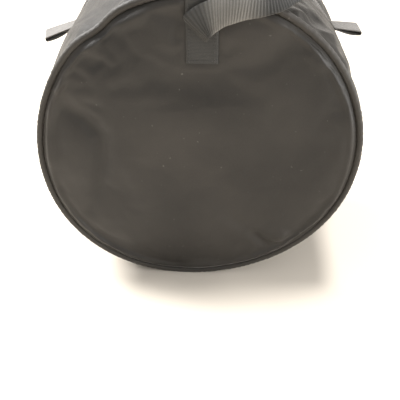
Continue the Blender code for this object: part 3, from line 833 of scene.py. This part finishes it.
def ribbon(name, stations, thickness, rib_height, rib_pitch, bows=None):
    """A strip of ribbed webbing through stations, each the points of its two edges. A bow lifts the middle of a
    station."""
    cells = 14
    steps_a_rib = 6
    route, places, whole = spaced(stations, rib_pitch / steps_a_rib)
    count = len(places)
    share = np.linspace(0, 1, cells + 1)[None, :, None]
    middle = route[:, :1] * (1 - share) + route[:, 1:2] * share
    along = np.gradient(middle, axis=0)
    across = route[:, 1:2] - route[:, :1]
    normal = np.cross(along, np.broadcast_to(across, along.shape))
    normal /= np.linalg.norm(normal, axis=2, keepdims=True)
    if bows is not None:
        bow = np.interp(places, whole, bows)[:, None, None]
        middle = middle + normal * bow * 4 * share * (1 - share)
    edge = np.minimum(share, 1 - share) * 2
    half = thickness / 2 * (0.55 + 0.45 * np.minimum(1, edge * 6))
    ribs = rib_height * np.cos(tau * places / rib_pitch)[:, None, None] * np.minimum(1, edge * 8)
    top = middle + normal * (half + ribs)
    bottom = middle - normal * (half + ribs)
    ring = np.concatenate([top, bottom[:, ::-1]], axis=1)
    width = float(np.linalg.norm(across, axis=2).mean())
    wide = 2 * (cells + 1)
    u = np.concatenate([np.linspace(0, width, cells + 1), np.linspace(width, 0, cells + 1)])
    faces = []
    uvs = []
    for i in range(count - 1):
        for j in range(wide):
            k = (j + 1) % wide
            faces.append((i * wide + j, i * wide + k, i * wide + wide + k, i * wide + wide + j))
            uvs += [(u[j], places[i]), (u[k], places[i]), (u[k], places[i + 1]), (u[j], places[i + 1])]
    for first, at in ((0, places[0]), ((count - 1) * wide, places[-1])):
        for j in range(cells):
            faces.append((first + j, first + j + 1, first + wide - 2 - j, first + wide - 1 - j))
            uvs += [(u[j], at), (u[j + 1], at), (u[j + 1], at), (u[j], at)]
    return made_object(name, ring, faces, uvs)


def on_wall(x, y, lift):
    """A point over the top half of the wall at x and y, lifted off it."""
    return Vector(on_bag(np.arccos(x / wall_radius), wall_radius + lift, y))


strip_left = strip_x - webbing_width / 2
strip_right = strip_x + webbing_width / 2
strip_edges = (strip_left, strip_right)
strip_face_y = panel_front_y - webbing_thickness / 2
rim_top = on_bag(pi / 2, welt_ring_radius + welt_radius, front_y + welt_radius)[2]

# The strip's course over the rim, as y and z.
over_rim = [
    (strip_face_y, rim_top - 0.026),
    (strip_face_y - 0.0003, rim_top - 0.012),
    (front_y - 0.0012, rim_top - 0.005),
    (front_y + 0.0005, rim_top + 0.0008),
    (front_y + 0.0045, rim_top + 0.0022),
    (front_y + 0.0095, rim_top + 0.0012),
]
strap_root = [[(x, y, z) for x in strip_edges] for y, z in over_rim]
for y in (front_y + 0.016, front_y + 0.028, front_y + 0.040, strip_high.y):
    strap_root.append([on_wall(x, y, strip_lift) for x in strip_edges])
# The strap over the rim and the strip on the panel take the darker webbing colour, which is painted shade.
strap_over_rim = ribbon("strap_over_rim", strap_root, webbing_thickness, 0.00012, sewn_rib)
dress(strap_over_rim, painted_shade_webbing, "shell", ["handle_front_anchor"])

panel_heights = (strip_low.z, strip_low.z + 0.02, strip_low.z + 0.04, rim_top - 0.022, rim_top - 0.014)
sewn_strip = [[(x, strip_face_y, z) for x in strip_edges] for z in panel_heights]
strap_on_panel = ribbon("strap_on_panel", sewn_strip, webbing_thickness, 0.0001, sewn_rib)
dress(strap_on_panel, painted_shade_webbing, "shell")

handle_course = [
    [(-0.0124, -0.1372, 0.3790), (0.0128, -0.1385, 0.3570)],
    [(-0.0128, -0.1385, 0.3885), (0.0155, -0.1490, 0.3655)],
    [(-0.0010, -0.1390, 0.3985), (0.0172, -0.1500, 0.3672)],
    [(0.0120, -0.1390, 0.4050), (0.0195, -0.1497, 0.3697)],
    [(0.0220, -0.1385, 0.4090), (0.0242, -0.1487, 0.3735)],
    [(0.0330, -0.1375, 0.4140), (0.0330, -0.1482, 0.3792)],
    [(0.0440, -0.1345, 0.4190), (0.0420, -0.1475, 0.3822)],
    [(0.0560, -0.1290, 0.4205), (0.0545, -0.1462, 0.3860)],
    [(0.0675, -0.1220, 0.4185), (0.0713, -0.1445, 0.3889)],
    [(0.0804, -0.1080, 0.4135), (0.0944, -0.1380, 0.3936)],
    [(0.0985, -0.0880, 0.4080), (0.1150, -0.1225, 0.4002)],
    [(0.1130, -0.0660, 0.4030), (0.1335, -0.0980, 0.3985)],
    [(0.1185, -0.0540, 0.4010), (0.1490, -0.0740, 0.3975)],
    [(0.1205, -0.0380, 0.4000), (0.1578, -0.0440, 0.3975)],
    [(0.1180, -0.0250, 0.4010), (0.1540, -0.0140, 0.3980)],
    [(0.1110, -0.0150, 0.4035), (0.1380, 0.0110, 0.4005)],
    [(0.0960, -0.0100, 0.4085), (0.1130, 0.0235, 0.4060)],
    [(0.0750, -0.0090, 0.4150), (0.0830, 0.0280, 0.4140)],
    [(0.0480, -0.0105, 0.4190), (0.0500, 0.0275, 0.4185)],
]
for x in (strip_right, strip_right - 0.008, 0.010, -0.006, -0.022, rear_low.x):
    handle_course.append([on_wall(x, y, handle_rear_lift) for y in (rear_low.y, rear_high.y)])
handle_bows = [0, -0.001, -0.0015, -0.0015, -0.002, -0.003, -0.0045, -0.006, -0.006, -0.005, -0.002]
handle_bows += [0] * (len(handle_course) - len(handle_bows))


def joint_place(name):
    """The point that a joint of the frame turns about."""
    return next(joint["pos_m"] for joint in frame["joints"] if joint["name"] == name)


handle = ribbon("handle", handle_course, webbing_thickness, 0.0003, webbing_rib, handle_bows)
dress(handle, webbing, solids=("carry_handle", "handle_rear_anchor"))
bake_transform(handle)


# The two side loops are shorter pieces of the same webbing, doubled, with both ends sewn flat on the wall. They
# stand straight out from the wall and droop a little, the left one more than the right one.
loop_colour = (0.128, 0.119, 0.108, 1)
loop_rib = webbing_rib * 0.6
loop_rib_height = 0.0002
loop_thickness = 0.0017
patch_thickness = loop_thickness * 1.6
patch_lift = 0.0012
loop_steps = 12
loop_arch = 0.0006
loop_gaps = (0.0010, 0.0026)
loop_sag = 0.0028

# Each loop's root and tip, in metres to the right and up, at its edge nearer the camera and at its far edge.
loop_ends = {
    "left": (((-0.1815, 0.3068), (-0.1812, 0.3092)), ((-0.2212, 0.2888), (-0.2262, 0.2925))),
    "right": (((0.1835, 0.3118), (0.1790, 0.3132)), ((0.2185, 0.3062), (0.2150, 0.3098))),
}
loop_webbing = cloth_material(
    "loop_webbing", ribbed, {"Colour": loop_colour, "Rib": loop_rib}, 0.0003, sheen=0.3
)
side_signs = (("left", -1), ("right", 1))


def patch_reach(side):
    """A side patch's root and top as angles above the drum's axis, and its near and far y."""
    low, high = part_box("side_tab_patch_" + side)
    root, top = (np.arcsin((corner.z - axis_z) / wall_radius) for corner in (low, high))
    return root, top, low.y, high.y


def beside(sign, angle, lift, y):
    """A point lifted off one side of the wall, at an angle above the drum's axis."""
    return on_bag(angle if sign > 0 else pi - angle, wall_radius + lift, y)


for side, sign in side_signs:
    patch_root, patch_top, y_near, y_far = patch_reach(side)
    patch = []
    for angle in np.linspace(patch_top, patch_root, 7):
        patch.append([beside(sign, angle, patch_lift, y) for y in (y_near, y_far)][::sign])
    sewn = ribbon("side_loop_patch_" + side, patch, patch_thickness, loop_rib_height, loop_rib)
    dress(sewn, loop_webbing, "shell", ["side_tab_patch_" + side])

    (root_near, root_far), (tip_near, tip_far) = loop_ends[side]
    upper, lower = [], []
    for step in range(loop_steps + 1):
        share = step / loop_steps
        gap = loop_gaps[0] + (loop_gaps[1] - loop_gaps[0]) * share ** 2
        edges = []
        for first, last, y in ((root_near, tip_near, y_near), (root_far, tip_far, y_far)):
            start, end = Vector((first[0], y, first[1])), Vector((last[0], y, last[1]))
            up = Vector((0, 1, 0)).cross(end - start).normalized() * -sign
            middle = start.lerp(end, share) + up * loop_arch * sin(pi * share)
            edges.append((middle, up, (end - start).normalized()))
        upper.append([middle + up * gap for middle, up, _ in edges])
        sag = gap + loop_sag * sin(pi * share ** 1.3)
        lower.append([middle - up * sag for middle, up, _ in edges])
    turned_end = []
    for turn in (60, 20, -20, -60):
        along, aside = cos(radians(turn)) * loop_gaps[1], sin(radians(turn)) * loop_gaps[1]
        turned_end.append([middle + outwards * along + up * aside for middle, up, outwards in edges])
    stations = [station[::sign] for station in upper + turned_end + lower[::-1]]
    loop = ribbon("side_loop_" + side, stations, loop_thickness, loop_rib_height, loop_rib)
    dress(loop, loop_webbing, solids=["side_tab_" + side])
    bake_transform(loop)


# The lid is a short padded wall, the gusset, and a padded round end with its own welt, of the same nylon. The
# camera doesn't see it. It hangs on the wall by a plain cloth hinge over the top, and the zip closes the rest.
gusset_rows = 12
gusset_puff = 0.0016
gusset_zip_edge = 0.005
gusset_waves = (0.05, 0.0012)
gusset_wrinkles = (0.012, 0.0006)

# Each fold of the lid's panel is given as the base panel's are.
lid_folds_shares = [
    ([(-0.70, 0.10), (-0.45, -0.10), (-0.40, -0.40)], 0.07, -0.011),
    ([(0.50, 0.55), (0.62, 0.25)], 0.06, -0.010),
    ([(0.86, 0.10), (0.90, -0.20)], 0.05, 0.009),
    ([(-0.20, -0.80), (0.15, -0.72)], 0.05, 0.008),
    ([(0.10, 0.30), (0.35, 0.05)], 0.08, 0.005),
]


def gusset_bumps(angle, y):
    """How far the gusset's cloth stands out."""
    arc = turned_to(angle) * wall_radius
    share = np.clip((y - gusset_start_y) / (gusset_end_y - gusset_start_y), 0, 1)
    puff = gusset_puff * np.sqrt(np.sin(pi * share))
    puff = puff + ripples(arc, y * 0.6, gusset_waves[0], 31.0) * gusset_waves[1]
    puff = puff + ripples(arc, y * 0.3, gusset_wrinkles[0], 35.0) * gusset_wrinkles[1]
    return puff * eased(share / 0.12) * eased((1 - share) / 0.12)


gusset = padded_wall(
    "gusset", gusset_start_y, gusset_end_y, gusset_rows, gusset_bumps, gusset_zip_edge, "lid",
    ("gusset_outer", "gusset_foam"),
)
lid_face_y = extent("lid_panel_outer")[3]
lid_foam_y = extent("lid_panel_foam")[2]
lid_panel = round_panel("lid_panel", lid_face_y, lid_foam_y, lid_folds_shares, 21.0)
dress(lid_panel, nylon, "lid", ("lid_panel_outer", "lid_panel_foam"))
make_welt("lid_rim_welt", back_y - welt_radius, "lid", "lid_welt")


# Inside, the foam is covered by a matt black lining of thin woven cloth, and its raw edges are bound with tape
# of the same cloth, sewn round the two mouths and over the two rim seams.
lining_colour = (0.022, 0.022, 0.024, 1)
binding_colour = (0.028, 0.028, 0.030, 1)
lining_ripple = 0.0004
lining_centre = 0.00002
lining_rows = 24
round_lining_rows = 20
lining_cloth = cloth_material(
    "lining", woven, {"Colour": lining_colour, "Yarn": 0.0007, "Roughness": 0.75, "Lint": 0.15},
    0.00012, coarse=0.0008,
)
binding_tape = cloth_material(
    "binding", ribbed, {"Colour": binding_colour, "Rib": 0.0016, "Fading": 0.08, "Roughness": 0.7}, 0.00015
)


def lining_bumps(angle, y):
    """The lining's loose ripples."""
    return lining_ripple * ripples(angle * 5, y * 25, 1.0, 41.0)


def inside_ring(node, body, outline, material):
    """A ring of cloth inside the bag, in place of its plain solid."""
    ring = swept(node + "_cloth", outline, lining_bumps)
    dress(ring, material, body, [node])
    return ring


for node, body, covered in (("wall_lining", "shell", "wall"), ("gusset_lining", "lid", "gusset")):
    inner, outer, near, far = extent(node)
    rows = [(inner, near + (far - near) * i / lining_rows, 0.6) for i in range(lining_rows + 1)]
    lining = inside_ring(node, body, rows + [(outer, far, 0), (outer, near, 0)], lining_cloth)
for node, body, mouth in (("wall_mouth_binding", "shell", 1), ("gusset_mouth_binding", "lid", -1)):
    inner, outer, near, far = extent(node)
    outline = [(inner, near, 0), (inner, far, 0), ((inner + outer) / 2, far + 0.0003 * mouth, 1)]
    inside_ring(node, body, outline + [(outer, far, 0), (outer, near, 0)], binding_tape)
for node, body, into in (("base_seam_binding", "shell", 1), ("lid_seam_binding", "lid", -1)):
    inner, outer, near, far = extent(node)
    flat, deep = (near, far) if into > 0 else (far, near)
    outline = [(outer, flat, 0), (inner, flat, 0), (inner, flat + 0.0012 * into, 1)]
    outline += [(outer - 0.004, flat + 0.002 * into, 1), (outer - 0.0015, flat + 0.006 * into, 1)]
    inside_ring(node, body, outline + [(outer, deep, 0)], binding_tape)

round_linings = (("base_panel_lining", "shell", "base_panel"), ("lid_panel_lining", "lid", "lid_panel"))
for node, body, covered in round_linings:
    _, outer, near, far = extent(node)
    inside, hidden = (far, near) if body == "shell" else (near, far)
    rows = []
    for i in range(round_lining_rows + 1):
        rows.append((lining_centre + (outer - lining_centre) * (i / round_lining_rows) ** 2, inside, 0))
    lining = inside_ring(node, body, rows + [(outer, hidden, 0), (lining_centre, hidden, 0)], lining_cloth)


# The cloth hinge over the top is an unpadded strip of the bag's nylon, sewn in under the edges of the wall and of
# the gusset. It alone joins the lid to the bag when the zip is open, and it folds along its middle.
hinge_seam = 0.006
hinge_seam_drop = 0.0034
hinge_thickness = 0.0009
hinge_rows = 30
hinge_steps = 90
hinge_radius = extent("wall_hinge_flap")[1]
hinge_start_y = extent("wall_hinge_flap")[2] - hinge_seam
hinge_end_y = extent("lid_hinge_flap")[3] + hinge_seam
flap_points = [point.co for point in frame["nodes"]["wall_hinge_flap"].data.vertices]
hinge_half_angle = -min(atan2(point.x, point.z - axis_z) for point in flap_points)
hinge_line = joint_place("lid_hinge")
zip_y = hinge_line[1]

hinge_section = []
for layer, order in ((0, range(hinge_rows + 1)), (hinge_thickness, range(hinge_rows, -1, -1))):
    for row in order:
        share = row / hinge_rows
        y = hinge_start_y + (hinge_end_y - hinge_start_y) * share
        under = 1 - eased((min(y - hinge_start_y, hinge_end_y - y) - hinge_seam * 0.6) / (hinge_seam * 0.9))
        hinge_section.append((hinge_radius - layer - hinge_seam_drop * under, y, sin(pi * share)))


def hinge_bumps(angle, y):
    """The hinge's slack: a shallow fold along its middle, and small ripples across it."""
    fold = -0.0009 * hump(y - zip_y, 0.003)
    return fold + 0.0005 * ripples(angle * 22, y * 40, 1.0, 51.0)


hinge = swept(
    "cloth_hinge", hinge_section, hinge_bumps, pi / 2 - hinge_half_angle, pi / 2 + hinge_half_angle, hinge_steps
)
dress(hinge, wall_nylon, solids=("wall_hinge_flap", "lid_hinge_flap"))
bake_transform(hinge)


# The zip is sewn in all round but for the hinge: two woven tapes, and on each a bead and a row of moulded black
# teeth that grip the other row. Each row's teeth stand half a pitch from the other's, in the gaps between them.
zip_start = pi / 2 + hinge_half_angle
zip_end = tau + pi / 2 - hinge_half_angle
tape_colour = (0.016, 0.016, 0.017, 1)
bead_half_height = 0.0011
bead_half_depth = 0.0006
bead_place_share = 0.83
bead_sides = 10
bead_end_angle = 0.015
tooth_pitch = 0.0028
tooth_length = 0.0015
tooth_reach = 0.0004
tooth_height_share = 0.95
tooth_end_angle = 0.02
tooth_inner, tooth_outer = extent("zip_teeth_wall")[:2]
tooth_radius = (tooth_inner + tooth_outer) / 2
tooth_depth = zip_y - extent("zip_teeth_wall")[2]
tape_material = cloth_material(
    "zip_tape", ribbed, {"Colour": tape_colour, "Rib": 0.0012, "Fading": 0.08, "Roughness": 0.6}, 0.0001
)

moulded_colour = (0.014, 0.014, 0.015)
moulded, moulded_tree, moulded_shader = new_material("moulded")
moulded_place = add(moulded_tree, "ShaderNodeTexCoord")["Object"]
scuffs = speckle(moulded_place, 260.0, 4.0)
grain = {"Strength": 0.4, "Distance": 0.00005, "Height": speckle(moulded_place, 2200.0, 1.0)}
feed(moulded_tree, moulded_shader, {
    "Base Color": shaded(moulded_colour, ranged(scuffs, 0.45, 0.75, 0.8, 1.9)),
    "Roughness": spread(scuffs, 0.28, 0.5),
    "Normal": add(moulded_tree, "ShaderNodeBump", grain)[0],
})

# Small things that repeat along a line, such as teeth and stitches, are set out by one Geometry Nodes tree: it
# spaces points along the line and puts a rounded block on each, turned along the line and out of the surface.
row_seed = 7
row_tree, row_in, row_out = node_group(
    "row_of_pieces", "GeometryNodeTree",
    [("Line", "Geometry"), ("Pitch", "Float"), ("Length", "Float"), ("Width", "Float"), ("Height", "Float"),
     ("Material", "Material"), ("Unevenness", "Float")],
    [("Pieces", "Geometry")],
)
curve = add(row_tree, "GeometryNodeMeshToCurve", {0: row_in["Line"]})[0]
line_points = add(
    row_tree, "GeometryNodeResampleCurve", {"Curve": curve, "Length": row_in["Pitch"]}, mode="LENGTH"
)[0]
block = add(row_tree, "GeometryNodeMeshUVSphere", {"Segments": 8, "Rings": 5, "Radius": 0.5})[0]
outward = add(row_tree, "GeometryNodeInputNamedAttribute", {"Name": "outward"}, data_type="FLOAT_VECTOR")[0]
tangent = add(row_tree, "GeometryNodeInputTangent")[0]
facing = add(
    row_tree, "FunctionNodeAxesToRotation", {"Primary Axis": outward, "Secondary Axis": tangent},
    primary_axis="Z", secondary_axis="X",
)[0]
least = add(row_tree, "ShaderNodeCombineXYZ", {2: row_in["Unevenness"] * -1.0})[0]
most = add(row_tree, "ShaderNodeCombineXYZ", {2: row_in["Unevenness"]})[0]
uneven = add(
    row_tree, "FunctionNodeRandomValue", {"Min": least, "Max": most, "Seed": row_seed}, data_type="FLOAT_VECTOR"
)[0]
skewed = add(row_tree, "FunctionNodeRotateRotation", {0: facing, 1: uneven}, rotation_space="LOCAL")[0]
size = add(row_tree, "ShaderNodeCombineXYZ", {0: row_in["Length"], 1: row_in["Width"], 2: row_in["Height"]})[0]
placed = add(
    row_tree, "GeometryNodeInstanceOnPoints",
    {"Points": line_points, "Instance": block, "Rotation": skewed, "Scale": size},
)[0]
real = add(row_tree, "GeometryNodeRealizeInstances", {0: placed})[0]
smooth = add(row_tree, "GeometryNodeSetShadeSmooth", {0: real})[0]
coated = add(row_tree, "GeometryNodeSetMaterial", {"Geometry": smooth, "Material": row_in["Material"]})[0]
feed(row_tree, row_out, {"Pieces": coated})


def row_of(name, lines, pitch, size, material, unevenness=0.0):
    """A mesh of small pieces along lines. Each line is its points, and their directions out of the surface."""
    points, edges, directions = [], [], []
    for line, outwards in lines:
        edges += [(len(points) + i, len(points) + i + 1) for i in range(len(line) - 1)]
        points += [tuple(point) for point in line]
        directions += [tuple(direction) for direction in outwards]
    data = bpy.data.meshes.new(name)
    data.from_pydata(points, edges, [])
    attribute = data.attributes.new("outward", "FLOAT_VECTOR", "POINT")
    attribute.data.foreach_set("vector", np.array(directions, np.float32).ravel())
    piece = bpy.data.objects.new(name, data)
    bpy.context.scene.collection.objects.link(piece)
    rows = piece.modifiers.new("rows", "NODES")
    rows.node_group = row_tree
    values = {"Pitch": pitch, "Length": size[0], "Width": size[1], "Height": size[2]}
    values.update({"Material": material, "Unevenness": unevenness})
    for item in row_tree.interface.items_tree:
        if item.name in values:
            rows[item.identifier] = values[item.name]
    with_modifiers(piece)
    piece.data.materials.clear()
    return piece


def round_line(radius, y, start, end, steps=360):
    """A line round the drum's axis, and its directions outwards."""
    angles = np.linspace(start, end, steps + 1)
    points = np.stack([radius * np.cos(angles), np.full(steps + 1, y), axis_z + radius * np.sin(angles)], axis=1)
    return points, np.stack([np.cos(angles), np.zeros(steps + 1), np.sin(angles)], axis=1)


for side, body, sign in (("wall", "shell", -1), ("lid", "lid", 1)):
    inner, outer, near, far = extent("zip_tape_" + side)
    outline = [(inner, near, 0), (inner, far, 0), (outer, far, 0), (outer, near, 0)]
    tape = swept("zip_tape_" + side + "_cloth", outline, None, zip_start, zip_end)
    dress(tape, tape_material, body, ["zip_tape_" + side])

    bead_y = zip_y + sign * tooth_depth * bead_place_share
    section = oval(tooth_radius, bead_y, bead_half_height, bead_half_depth, bead_sides, 0)
    bead = swept("zip_bead_" + side, section, None, zip_start + bead_end_angle, zip_end - bead_end_angle)
    dress(bead, tape_material, body)

    half_pitch = tooth_pitch / 2 / tooth_radius if sign > 0 else 0
    middle_y = zip_y + sign * (tooth_depth - tooth_reach) / 2
    line = round_line(tooth_radius, middle_y, zip_start + tooth_end_angle + half_pitch, zip_end - tooth_end_angle)
    tooth_size = (tooth_length, tooth_depth + tooth_reach, (tooth_outer - tooth_inner) * tooth_height_share)
    teeth = row_of("zip_teeth_" + side + "_row", [line], tooth_pitch, tooth_size, moulded)
    dress(teeth, moulded, body, ["zip_teeth_" + side])


# The two sliders are dark enamelled metal, worn bright on their edges, each with a plate inside the bag and a
# black moulded pull that hangs from it. They are rigid, so their own solids show, with their edges rounded.
enamel_colour = (0.05, 0.05, 0.052, 1)
bare_metal_colour = (0.35, 0.33, 0.30, 1)
enamel, enamel_tree, enamel_shader = new_material("enamel")
spots = speckle(add(enamel_tree, "ShaderNodeTexCoord")["Object"], 420.0, 4.0)
pointed = add(enamel_tree, "ShaderNodeNewGeometry")["Pointiness"]
worn = ranged(pointed + spots * 0.12, 0.58, 0.64, 0.0, 1.0)
tints = {0: worn, 6: enamel_colour, 7: bare_metal_colour}
pits = {"Strength": 0.3, "Distance": 0.00004, "Height": spots}
feed(enamel_tree, enamel_shader, {
    "Base Color": add(enamel_tree, "ShaderNodeMix", tints, data_type="RGBA")[2],
    "Roughness": spread(spots, 0.25, 0.42),
    "Metallic": ranged(worn, 0.0, 1.0, 0.35, 0.9),
    "Normal": add(enamel_tree, "ShaderNodeBump", pits)[0],
})


def rigid(node, material, rounding):
    """Gives a solid its material and small round edges."""
    piece = frame["nodes"][node]
    piece.data.materials.clear()
    piece.data.materials.append(material)
    weld = piece.modifiers.new("weld", "WELD")
    weld.merge_threshold = 0.00002
    bevel = piece.modifiers.new("round_edges", "BEVEL")
    bevel.width = rounding
    bevel.segments = 2
    bevel.limit_method = "ANGLE"
    bevel.angle_limit = radians(35)
    bevel.harden_normals = True


for slider in ("upper", "lower"):
    rigid(slider + "_slider", enamel, 0.0003)
    rigid(slider + "_slider_inner_plate", enamel, 0.0002)
    rigid(slider + "_pull", moulded, 0.0004)
for node in ("zip_stop_left", "zip_stop_right"):
    rigid(node, moulded, 0.0003)


# The stitching is black polyester thread, in rows along the folds beside the zip, round the webbing's sewn ends
# and down the strip on the base panel. Each row is laid over its piece and pressed on to it.
thread_colour = (0.028, 0.027, 0.026, 1)
stitch_pitch = 0.0036
stitch_size = (0.0029, 0.00065, 0.0005)
stitch_lift = 0.0001
stitch_unevenness = 0.06
stitch_inset = 0.003
double_row_gap = 0.0012
zip_row_inset = 0.004
laid_over = 0.01
thread = cloth_material(
    "thread", ribbed, {"Colour": thread_colour, "Rib": 0.0008, "Fading": 0.1, "Roughness": 0.55}, 0.0001, sheen=0.3
)


def sewn_row(name, piece, body, lines):
    """Rows of stitches on a piece: each line's points are moved to the nearest place on its surface."""
    surface = BVHTree.FromObject(piece, bpy.context.evaluated_depsgraph_get())
    pressed = []
    for line in lines:
        points, outwards = [], []
        for point in line:
            place, normal, _, _ = surface.find_nearest(point)
            if normal.dot(point - place) < 0:
                normal = -normal
            points.append(place + normal * stitch_lift)
            outwards.append(normal)
        pressed.append((points, outwards))
    row = row_of(name, pressed, stitch_pitch, stitch_size, thread, stitch_unevenness)
    dress(row, thread, body)


def straight(start, end, step=0.0015):
    """Points along a straight line."""
    start, end = Vector(start), Vector(end)
    count = max(2, int((end - start).length / step))
    return [start.lerp(end, i / count) for i in range(count + 1)]


def round_row(y, count=480):
    """Points round the outside of the bag as it lies."""
    return [Vector(point) for point in on_bag(np.linspace(0, tau, count), wall_radius + laid_over, y)]


def boxed(place, first, last, near, far):
    """Stitch lines round a four-sided patch and from corner to corner. Place turns its two measures to a point."""
    a, b, c, d = place(first, near), place(last, near), place(last, far), place(first, far)
    return [straight(a, b), straight(b, c), straight(c, d), straight(d, a), straight(a, c), straight(b, d)]


def over_wall(x, y):
    """A point over the top half of the wall, for a row of stitches to start from."""
    return on_wall(x, y, laid_over)


row_left = strip_left + stitch_inset
row_right = strip_right - stitch_inset
row_low = strip_low.z + stitch_inset
row_high = rim_top - 0.018
row_y = strip_face_y - laid_over
strip_rows = []
for x in (row_left, row_left + double_row_gap, row_right, row_right - double_row_gap):
    strip_rows.append(straight((x, row_y, row_low), (x, row_y, row_high)))
for z in (row_low, row_low + double_row_gap):
    strip_rows.append(straight((row_left, row_y, z), (row_right, row_y, z)))
sewn_row("strip_stitches", strap_on_panel, "shell", strip_rows)
sewn_row("wall_zip_stitches", wall, "shell", [round_row(wall_end_y - zip_row_inset)])
sewn_row("gusset_zip_stitches", gusset, "lid", [round_row(gusset_start_y + zip_row_inset)])

rear_left, rear_right = rear_low.x + stitch_inset, rear_high.x - stitch_inset
rear_near, rear_far = rear_low.y + stitch_inset, rear_high.y - stitch_inset
sewn_row("rear_end_stitches", handle, "shell", boxed(over_wall, rear_left, rear_right, rear_near, rear_far))
front_box = boxed(over_wall, row_left, row_right, front_y + 0.016, strip_high.y - stitch_inset)
sewn_row("front_end_stitches", strap_over_rim, "shell", front_box)

for side, sign in side_signs:
    patch_root, patch_top, y_near, y_far = patch_reach(side)
    inset_angle = stitch_inset / wall_radius
    patch_box = boxed(
        lambda angle, y: beside(sign, angle, laid_over, y),
        patch_top - inset_angle, patch_root + inset_angle, y_near + stitch_inset, y_far - stitch_inset,
    )
    sewn_row("side_loop_stitches_" + side, bpy.data.objects["side_loop_patch_" + side], "shell", patch_box)
